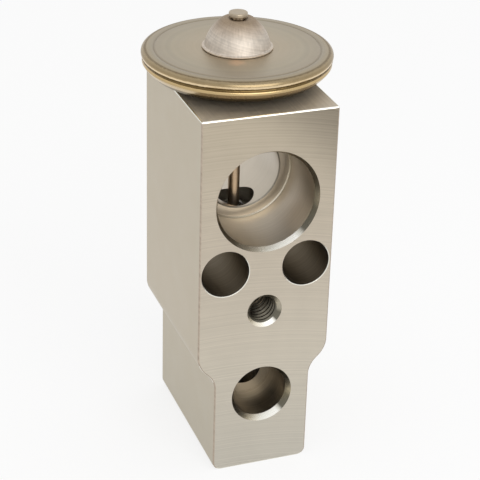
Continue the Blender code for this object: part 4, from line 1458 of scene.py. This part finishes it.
@dataclass
class Head:
    """The sealed diaphragm case on top of the block.

    Attributes:
        pressed_ring: How far outside the lid's ring and how deep each point of its groove is.
    """

    finishes: Finishes
    radius: float = 0.0173
    clamp_inner: float = 0.0154
    sheet: float = 0.0009
    rim_inset: float = 0.0002
    foot_radius: float = 0.0110
    neck_radius: float = 0.0087
    neck_bore: float = 0.0071
    dish_bottom: float = 0.0723
    dish_rim: float = 0.0755
    clamp_level: float = 0.0761
    cover_bottom: float = 0.07645
    cover_top: float = 0.0780
    cover_edge: float = 0.0008
    hole: float = 0.00125
    ring_inset: float = 0.0023
    pressed_ring: tuple[Point, ...] = (
        (-0.00045, 0.0), (-0.00025, 0.00003), (-0.00010, 0.00012), (0.00005, 0.00014),
        (0.00018, 0.00009), (0.00032, 0.00004), (0.0006, 0.00003),
    )
    neck_length: float = 0.0059
    neck_thread_depth: float = 0.0005
    bead_inset: float = 0.00046
    bead_radius: float = 0.00031
    bead_ripple: float = 0.00012
    stop_radius: float = 0.0112

    def cover(self) -> None:
        """The lid: flat, with a pressed ring and a rounded edge."""
        edge = self.cover_edge
        centre = (self.radius - edge, self.cover_top - 0.00015 - edge)
        ring = self.radius - self.ring_inset
        ceiling = self.cover_top - self.sheet
        groove = [(ring + out, self.cover_top - down) for out, down in self.pressed_ring]
        outline = [
            (self.hole, self.cover_top),
            *groove,
            *arc(centre, edge, math.radians(85), math.radians(-45), 16),
            (self.radius - 0.00055, self.cover_bottom),
            *rounded(
                [
                    (self.clamp_inner + 0.0003, self.cover_bottom, 0),
                    (self.clamp_inner, self.cover_bottom, 0.0002),
                    (self.clamp_inner - 0.0003, ceiling, 0.0003),
                    (self.hole, ceiling, 0),
                ]
            ),
        ]
        # The rounded edge below the top takes the seam finish, with its painted highlight and
        # painted shade.
        bands = [
            int(radius > self.radius - edge and height < self.cover_top - 0.0001)
            for radius, height in outline
        ]
        mesh = turned("head_lid", outline, 2 * FINE_ROUND, ring=True, bands=bands)
        mesh.materials.append(self.finishes.disc)
        mesh.materials.append(self.finishes.seam)
        piece("head_lid", mesh, None, HOUSING, "head_steel", "head_cover")

    def base(self) -> None:
        """The dish under the lid, with its threaded neck."""
        rim = self.radius - self.rim_inset
        bottom = self.dish_bottom
        outer = smooth_through(
            [
                (rim, self.dish_rim),
                (rim - 0.0008, bottom + 0.0022),
                (rim - 0.0023, bottom + 0.0011),
                (self.foot_radius, bottom),
            ],
            8,
        )
        inner_foot = (self.foot_radius - 0.00045, bottom + self.sheet)
        width = self.clamp_inner - inner_foot[0]
        height = self.dish_rim - inner_foot[1]
        spans = 12
        angles = [math.pi / 2 * i / spans for i in range(spans + 1)]
        inner = [
            (inner_foot[0] + width * math.sin(a), inner_foot[1] + height * (1 - math.cos(a)))
            for a in angles
        ]
        neck_end = bottom - self.neck_length
        outline = [
            *arc((rim - 0.0003, self.clamp_level - 0.0003), 0.0003, math.pi / 2, 0.0, 6),
            *outer,
            (self.neck_radius - self.neck_thread_depth, bottom),
            *thread_outline(
                self.neck_radius, self.neck_thread_depth, bottom - 0.0008, neck_end + 0.0004
            ),
            (self.neck_radius - 0.0007, neck_end),
            (self.neck_bore, neck_end),
            (self.neck_bore, bottom + self.sheet),
            *inner,
            (self.clamp_inner, self.clamp_level),
        ]
        mesh = turned("head_dish", outline, FINE_ROUND, ring=True)
        piece("head_dish", mesh, self.finishes.dish, HOUSING, "tinted_steel", "head_base")

    def bead(self) -> None:
        """The weld that runs round between the lid and the dish, with its ripples."""
        recipe = Recipe("edge_weld")
        reach = recipe.given("Radius", self.radius - self.bead_inset)
        level = recipe.given("Level", (self.clamp_level + self.cover_bottom) / 2)
        thickness = recipe.given("Bead radius", self.bead_radius)
        ripple = recipe.given("Ripple", self.bead_ripple)
        seed = recipe.given("Seed", 4.0)
        circle = recipe.signal(
            "GeometryNodeCurvePrimitiveCircle", 0, {"Resolution": 540, "Radius": reach}
        )
        place = recipe.signal("GeometryNodeInputPosition", 0)
        x, y, _ = recipe.apart(place)
        wobble = recipe.signal(
            "ShaderNodeTexNoise",
            0,
            {"Vector": place, "W": seed, "Scale": 900.0, "Detail": 2.0},
            noise_dimensions="4D",
        )
        grow = 1 + (wobble - 0.5) * 2 * ripple / reach
        moved = recipe.joined(x * grow, y * grow, level + (wobble - 0.5) * ripple)
        path = recipe.signal("GeometryNodeSetPosition", 0, {0: circle, "Position": moved})
        profile = recipe.signal(
            "GeometryNodeCurvePrimitiveCircle", 0, {"Resolution": 12, "Radius": thickness}
        )
        tube = recipe.signal(
            "GeometryNodeCurveToMesh", 0, {"Curve": path, "Profile Curve": profile}
        )
        mesh = recipe.made(tube, self.finishes.weld)
        piece("head_weld", mesh, None, HOUSING, "tinted_steel")

    def inside(self) -> None:
        """The diaphragm, the stop plate and the seal under the head."""
        low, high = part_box("diaphragm")
        thickness, waves, wave = 0.00015, 2, 0.00025
        level = high.z - thickness / 2
        ripples, spans = [], 60
        for i in range(spans + 1):
            share = i / spans
            swing = wave / 2 * (1 - math.cos(2 * math.pi * waves * share))
            reach = self.stop_radius + (self.clamp_inner - self.stop_radius) * share
            ripples.append((reach, level - swing))
        middle = [(0.0, level), *ripples, (high.x, level)]
        outline = [(r, z + thickness / 2) for r, z in middle]
        outline += [(r, z - thickness / 2) for r, z in reversed(middle)]
        skin = turned("flex_disc", outline, ROUND)
        disc = piece("flex_disc", skin, self.finishes.steel, HOUSING, "bright_steel", "diaphragm")
        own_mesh(disc)
        low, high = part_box("stop_plate")
        shelf = high.z - 0.0011
        hub, bore = 0.0030, 0.001175
        plate = rounded(
            [
                (0.0, high.z, 0),
                (high.x, high.z, 0.00015),
                (high.x, shelf, 0.00015),
                (hub, shelf, 0.0003),
                (hub, low.z, 0.0002),
                (bore, low.z, 0.0001),
                (bore, shelf, 0),
                (0.0, shelf, 0),
            ]
        )
        mesh = turned("thrust_plate", plate)
        piece("thrust_plate", mesh, self.finishes.brass, TRAIN, "brass", "stop_plate")
        mesh = cord_ring("neck_ring", "head_seal")
        piece("neck_ring", mesh, self.finishes.rubber, HOUSING, "seal_rubber", "head_seal")

    def build(self) -> None:
        """Builds the head."""
        self.cover()
        self.base()
        self.bead()
        self.inside()


@dataclass
class Charge:
    """The soldered boss on the lid and the plug in it."""

    finishes: Finishes
    bottom: float = 0.0781
    hole: float = 0.00125
    lump: float = 0.00006
    neck_radius: float = 0.00115
    ribs: int = 7
    rib_size: Corner = (0.0005, 0.00045, 0.0006)
    head_height: float = 0.00075

    def boss(self) -> None:
        """The cone of solder, brushed by hand and a little uneven."""
        flank = smooth_through(
            [
                (0.0024, 0.0054),
                (0.0032, 0.0050),
                (0.0045, 0.0036),
                (0.0055, 0.0020),
                (0.0060, 0.0004),
            ],
            10,
        )
        outline = [
            (self.hole, 0.0051),
            (0.0018, 0.00535),
            *flank,
            (0.0061, 0.00029),
            (0.0063, 0.00027),
            (0.0064, 0.00018),
            (0.0064, 0.0),
            (self.hole, 0.0),
        ]
        mesh = turned("charge_cone", outline, FINE_ROUND, ring=True)
        for vertex in mesh.vertices:
            radius = math.hypot(vertex.co.x, vertex.co.y)
            share = min(1.0, max(0.0, (0.0062 - radius) / 0.0004)) * min(1.0, vertex.co.z / 0.001)
            if radius > self.hole * 1.01:
                lump = noise.noise(vertex.co * 700.0) * self.lump * share
                vertex.co.x *= 1 + lump / radius
                vertex.co.y *= 1 + lump / radius
            vertex.co.z += self.bottom
        piece("charge_cone", mesh, self.finishes.solder, HOUSING, "solder", "charge_boss")

    def plug(self) -> None:
        """The plug: a flat head, a thinner neck and the ribs that it was pressed in by."""
        low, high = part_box("charge_plug")
        head, under = high.x, high.z - self.head_height
        outline = rounded(
            [
                (0.0, high.z - 0.00003, 0),
                (head * 0.7, high.z, 0.0005),
                (head, high.z, 0.00016),
                (head, under, 0.00014),
                (self.neck_radius, under, 0.0001),
                (self.neck_radius, low.z, 0.0001),
                (0.0, low.z, 0),
            ]
        )
        mesh = turned("charge_pin", outline, 72)
        piece("charge_pin", mesh, self.finishes.plug, HOUSING, "bright_steel", "charge_plug")
        rib = bmesh.new()
        bmesh.ops.create_cube(rib, size=1.0)
        centre = (self.hole, 0.0, under - 0.0001)
        for vertex in rib.verts:
            for axis in range(3):
                vertex.co[axis] = vertex.co[axis] * self.rib_size[axis] + centre[axis]
        bmesh.ops.bevel(
            rib, geom=rib.edges[:], offset=0.00006, segments=2, profile=0.5, affect="EDGES"
        )
        first_angle = 0.3
        rib_mesh = to_mesh("rib", rib)
        ring = ring_of("pin_ribs", rib_mesh, self.ribs, first_angle, self.finishes.plug)
        piece("pin_ribs", ring, None, HOUSING, "bright_steel")

    def build(self) -> None:
        """Builds the boss and its plug."""
        self.boss()
        self.plug()


@dataclass
class RodSet:
    """The push rod, its guide and its seal."""

    finishes: Finishes
    teeth: int = 6
    slot: float = 0.0007
    sheet: float = 0.00035

    def rod(self) -> None:
        """The ground rod, with broken ends."""
        low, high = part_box("push_rod")
        outline = rounded(
            [
                (0.0, high.z, 0),
                (high.x, high.z, 0.0002),
                (high.x, low.z, 0.0002),
                (0.0, low.z, 0),
            ]
        )
        mesh = turned("rod", outline, 48)
        piece("rod", mesh, self.finishes.rod, TRAIN, "bright_steel", "push_rod")

    def collar(self, name: str, node: str, bore: float, edge: float) -> None:
        """A turned ring of brass in the place of a solid."""
        low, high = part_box(node)
        corners = [
            (bore, high.z, edge),
            (high.x, high.z, edge),
            (high.x, low.z, edge),
            (bore, low.z, edge),
        ]
        mesh = turned(name, rounded(corners, 3, closed=True), 72, ring=True)
        piece(name, mesh, self.finishes.brass, HOUSING, "brass", node)

    def push_nut(self) -> None:
        """The toothed ring of spring sheet over the rod's seal."""
        low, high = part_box("seal_push_nut")
        flat = low.z + self.sheet / 2
        outer, bend, tip = high.x - 0.00005, 0.0026, 0.00132
        rise = high.z - low.z - self.sheet
        rim = [(outer, flat), (bend + 0.0002, flat), (bend, flat + 0.00004)]
        leaf = [
            (bend - (bend - tip) * share, flat + 0.00004 + rise * share)
            for share in (0.15, 0.4, 0.7, 1.0)
        ]
        sector = leaf_sector("tooth", rim, leaf, self.teeth, self.slot)
        ring = ring_of("toothed_ring", sector, self.teeth, 0.0, self.finishes.spring)
        mesh = sheet_piece("toothed_ring", ring, self.sheet)
        piece("toothed_ring", mesh, None, HOUSING, "spring_steel", "seal_push_nut")

    def build(self) -> None:
        """Builds the rod and what is round it."""
        self.rod()
        self.collar("rod_bush", "rod_guide", 0.001225, 0.00012)
        self.collar("rod_washer", "seal_washer", 0.001275, 0.00006)
        mesh = cord_ring("rod_ring", "rod_seal")
        piece("rod_ring", mesh, self.finishes.rubber, HOUSING, "seal_rubber", "rod_seal")
        self.push_nut()


@dataclass
class Train:
    """The seat, the ball and what presses it up."""

    finishes: Finishes
    fingers: int = 8
    slot: float = 0.0016
    clip_sheet: float = 0.00025
    wire: float = 0.00045
    turns: int = 6
    travel: float = 0.0008

    def seat(self) -> None:
        """The hard ring with the orifice and the ball's cone."""
        low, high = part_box("valve_seat")
        orifice, cone = 0.0015, 0.0010
        corners = [
            (orifice, high.z, 0.0001),
            (high.x, high.z, 0.0001),
            (high.x, low.z, 0.0001),
            (orifice + cone, low.z, 0),
            (orifice, low.z + cone, 0),
        ]
        mesh = turned("seat_ring", rounded(corners, 3, closed=True), 72, ring=True)
        piece("seat_ring", mesh, self.finishes.steel, HOUSING, "bright_steel", "valve_seat")

    def ball(self) -> None:
        """The ball."""
        low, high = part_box("valve_ball")
        radius = (high.z - low.z) / 2
        half = arc((0.0, low.z + radius), radius, math.pi / 2, -math.pi / 2, 36)
        outline = [(0.0, high.z), *half[1:-1], (0.0, low.z)]
        mesh = turned("ball", outline, 72)
        piece("ball", mesh, self.finishes.steel, TRAIN, "bright_steel", "valve_ball")

    def carrier(self) -> None:
        """The turned carrier under the ball."""
        low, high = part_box("ball_carrier")
        rim, flange_top, flange_bottom = high.z, high.z - 0.0013, high.z - 0.0024
        floor = rim - 0.0017
        outline = rounded(
            [
                (0.0, floor, 0),
                (0.0009, floor, 0.0001),
                (0.0026, rim, 0.00005),
                (0.0030, rim, 0.0001),
                (0.0030, flange_top, 0.0002),
                (high.x, flange_top, 0.00015),
                (high.x, flange_bottom, 0.00015),
                (0.0023, flange_bottom, 0.0001),
                (0.0023, low.z, 0.0003),
                (0.0, low.z, 0),
            ]
        )
        mesh = turned("carrier", outline, 72)
        piece("carrier", mesh, self.finishes.brass, TRAIN, "brass", "ball_carrier")

    def clip(self) -> None:
        """The sheet ring whose fingers rub on the chamber wall."""
        low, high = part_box("damping_clip")
        flat = low.z + self.clip_sheet / 2
        outer = 0.0050 - self.clip_sheet / 2
        bend = 0.0004
        rim = [(0.0024, flat), (0.0036, flat), (outer - bend, flat)]
        turn = arc((outer - bend, flat + bend), bend, -math.pi / 2, 0.0, 5)[1:]
        leaf = [*turn, (outer, high.z - 0.0002), (outer - 0.00006, high.z)]
        sector = leaf_sector("finger", rim, leaf, self.fingers, self.slot)
        ring = ring_of(
            "fingered_ring", sector, self.fingers, math.pi / self.fingers, self.finishes.spring
        )
        mesh = sheet_piece("fingered_ring", ring, self.clip_sheet)
        piece("fingered_ring", mesh, None, TRAIN, "spring_steel", "damping_clip")

    def spring(self) -> None:
        """The coil spring, with its ends ground flat."""
        low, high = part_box("valve_spring")
        mean = (high.x - low.x) / 2 - self.wire
        heights = (low.z + self.wire / 2, 2.3 * self.wire, high.z - self.wire / 2)
        mesh = coil("coil_spring", mean, self.wire, self.turns, heights, self.finishes.spring)
        for vertex in mesh.vertices:
            vertex.co.z = min(max(vertex.co.z, low.z), high.z)
        spring = piece("coil_spring", mesh, None, HOUSING, "spring_steel", "valve_spring")
        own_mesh(spring)

    def build(self) -> None:
        """Builds the valve's inside."""
        self.seat()
        self.ball()
        self.carrier()
        self.clip()
        self.spring()


@dataclass
class Adjuster:
    """The hollow screw in the foot and its seal."""

    finishes: Finishes
    across_flats: float = 0.0060
    hex_depth: float = 0.0038

    def build(self) -> None:
        """Builds the screw, with its thread and its hexagon socket, and the seal."""
        low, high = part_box("adjusting_nut")
        bottom, top = low.z, high.z
        thread, groove, pocket = 0.0060, 0.0045, 0.0036
        outline = [
            (0.0, top - 0.0022),
            (pocket, top - 0.0022),
            (pocket, top - 0.0002),
            (pocket + 0.0002, top),
            (0.0057, top),
            (0.0057, top - 0.0009),
            (groove, top - 0.0009),
            (groove, bottom + 0.0046),
            (thread - 0.0005, bottom + 0.0046),
            *thread_outline(thread, 0.0004, bottom + 0.0044, bottom + 0.0004),
            (thread - 0.0006, bottom),
            (0.0, bottom),
        ]
        nut = put("screw_raw", turned("hollow_screw", outline, 120))
        socket = bmesh.new()
        corner = self.across_flats / 2 / math.cos(math.pi / 6)
        bmesh.ops.create_cone(
            socket, cap_ends=True, segments=6, radius1=corner, radius2=corner,
            depth=self.hex_depth + OVERCUT,
        )
        key = to_mesh("key", socket)
        key.transform(Matrix.Translation((0, 0, bottom + (self.hex_depth - OVERCUT) / 2)))
        lead = turned(
            "lead",
            [
                (0.0, bottom + 0.0005),
                (corner - 0.0004, bottom + 0.0005),
                (corner + 0.0001 + OVERCUT, bottom - OVERCUT),
                (0.0, bottom - OVERCUT),
            ],
            72,
        )
        cut(nut, [key, lead])
        mesh = nut.data
        bpy.data.objects.remove(nut, do_unlink=True)
        piece("hollow_screw", mesh, self.finishes.brass, ADJUSTER, "brass", "adjusting_nut")
        mesh = cord_ring("screw_ring", "nut_seal")
        piece("screw_ring", mesh, self.finishes.rubber, ADJUSTER, "seal_rubber", "nut_seal")


@dataclass
class Studio:
    """The floor, the light and the camera."""

    lens: float = 121.15
    place: tuple[float, float, float] = (-0.0945, -0.2555, 0.1803)
    azimuth: float = math.radians(-20.606)
    elevation: float = math.radians(27.405)
    roll: float = math.radians(1.67)
    ambient: float = 0.85
    key_direction: tuple[float, float, float] = (0.05, -0.90, 0.41)
    key_distance: float = 0.60
    key_size: float = 0.54
    key_power: float = 1.8
    key_aim: float = 0.045

    @staticmethod
    def seen(graph: Graph) -> Signal:
        """1 for rays that see the backdrop itself or its reflection."""
        path = graph.node("ShaderNodeLightPath")
        camera, glossy, transmission = (
            Signal(graph, path.outputs[name])
            for name in ("Is Camera Ray", "Is Glossy Ray", "Is Transmission Ray")
        )
        return graph.math("MINIMUM", camera + glossy + transmission, 1.0)

    def world(self) -> None:
        """A white world, a little weaker as a light than as a backdrop."""
        world = bpy.data.worlds.new("studio")
        world.use_nodes = True
        graph = Graph(world.node_tree)
        graph.tree.nodes.clear()
        strength = self.ambient + (1 - self.ambient) * self.seen(graph)
        shader = graph.signal(
            "ShaderNodeBackground", 0, {"Color": (1.0, 1.0, 1.0), "Strength": strength}
        )
        graph.node("ShaderNodeOutputWorld", {"Surface": shader})
        bpy.context.scene.world = world

    def floor(self) -> None:
        """A plain pale floor that keeps the object's shadow."""
        graph = ShaderGraph("pale_floor")
        diffuse = graph.signal("ShaderNodeBsdfDiffuse", 0, {"Color": (0.90, 0.90, 0.90)})
        white = graph.signal("ShaderNodeEmission", 0, {"Color": (1.0, 1.0, 1.0), "Strength": 1.0})
        mixed = graph.signal(
            "ShaderNodeMixShader", 0, {0: 0.75 * self.seen(graph), 1: diffuse, 2: white}
        )
        shell = bmesh.new()
        bmesh.ops.create_grid(shell, x_segments=4, y_segments=4, size=1.5)
        mesh = to_mesh("floor", shell)
        mesh.transform(Matrix.Translation((0.0, 0.0, -0.00002)))
        mesh.materials.append(graph.show(mixed))
        put("floor", mesh)

    def key(self) -> None:
        """One wide soft light, up in front of the valve."""
        direction = Vector(self.key_direction).normalized()
        data = bpy.data.lights.new("key", "AREA")
        data.shape = "SQUARE"
        data.size = self.key_size
        data.energy = self.key_power
        light = bpy.data.objects.new("key", data)
        bpy.context.scene.collection.objects.link(light)
        light.location = Vector((0.0, 0.0, self.key_aim)) + direction * self.key_distance
        light.rotation_euler = direction.to_track_quat("Z", "Y").to_euler()
        light.visible_camera = False

    def camera(self) -> None:
        """The photograph's camera."""
        data = bpy.data.cameras.new("camera")
        data.lens = self.lens
        data.sensor_width = 36.0
        data.clip_start = 0.01
        camera = bpy.data.objects.new("camera", data)
        bpy.context.scene.collection.objects.link(camera)
        turn = (
            Matrix.Rotation(self.azimuth, 4, "Z")
            @ Matrix.Rotation(math.pi / 2 - self.elevation, 4, "X")
            @ Matrix.Rotation(self.roll, 4, "Z")
        )
        camera.matrix_world = Matrix.Translation(self.place) @ turn
        bpy.context.scene.camera = camera

    def build(self) -> None:
        """Builds the studio."""
        self.world()
        self.floor()
        self.key()
        self.camera()
        bpy.context.scene.view_settings.view_transform = "Standard"


def main() -> None:
    """Builds every piece and the studio."""
    logging.basicConfig(level=logging.INFO, format="%(name)s: %(message)s")
    finishes = Finishes()
    for part in (Block, Head, Charge, RodSet, Train, Adjuster):
        part(finishes).build()
    Studio().build()


if __name__ == "__main__":
    main()
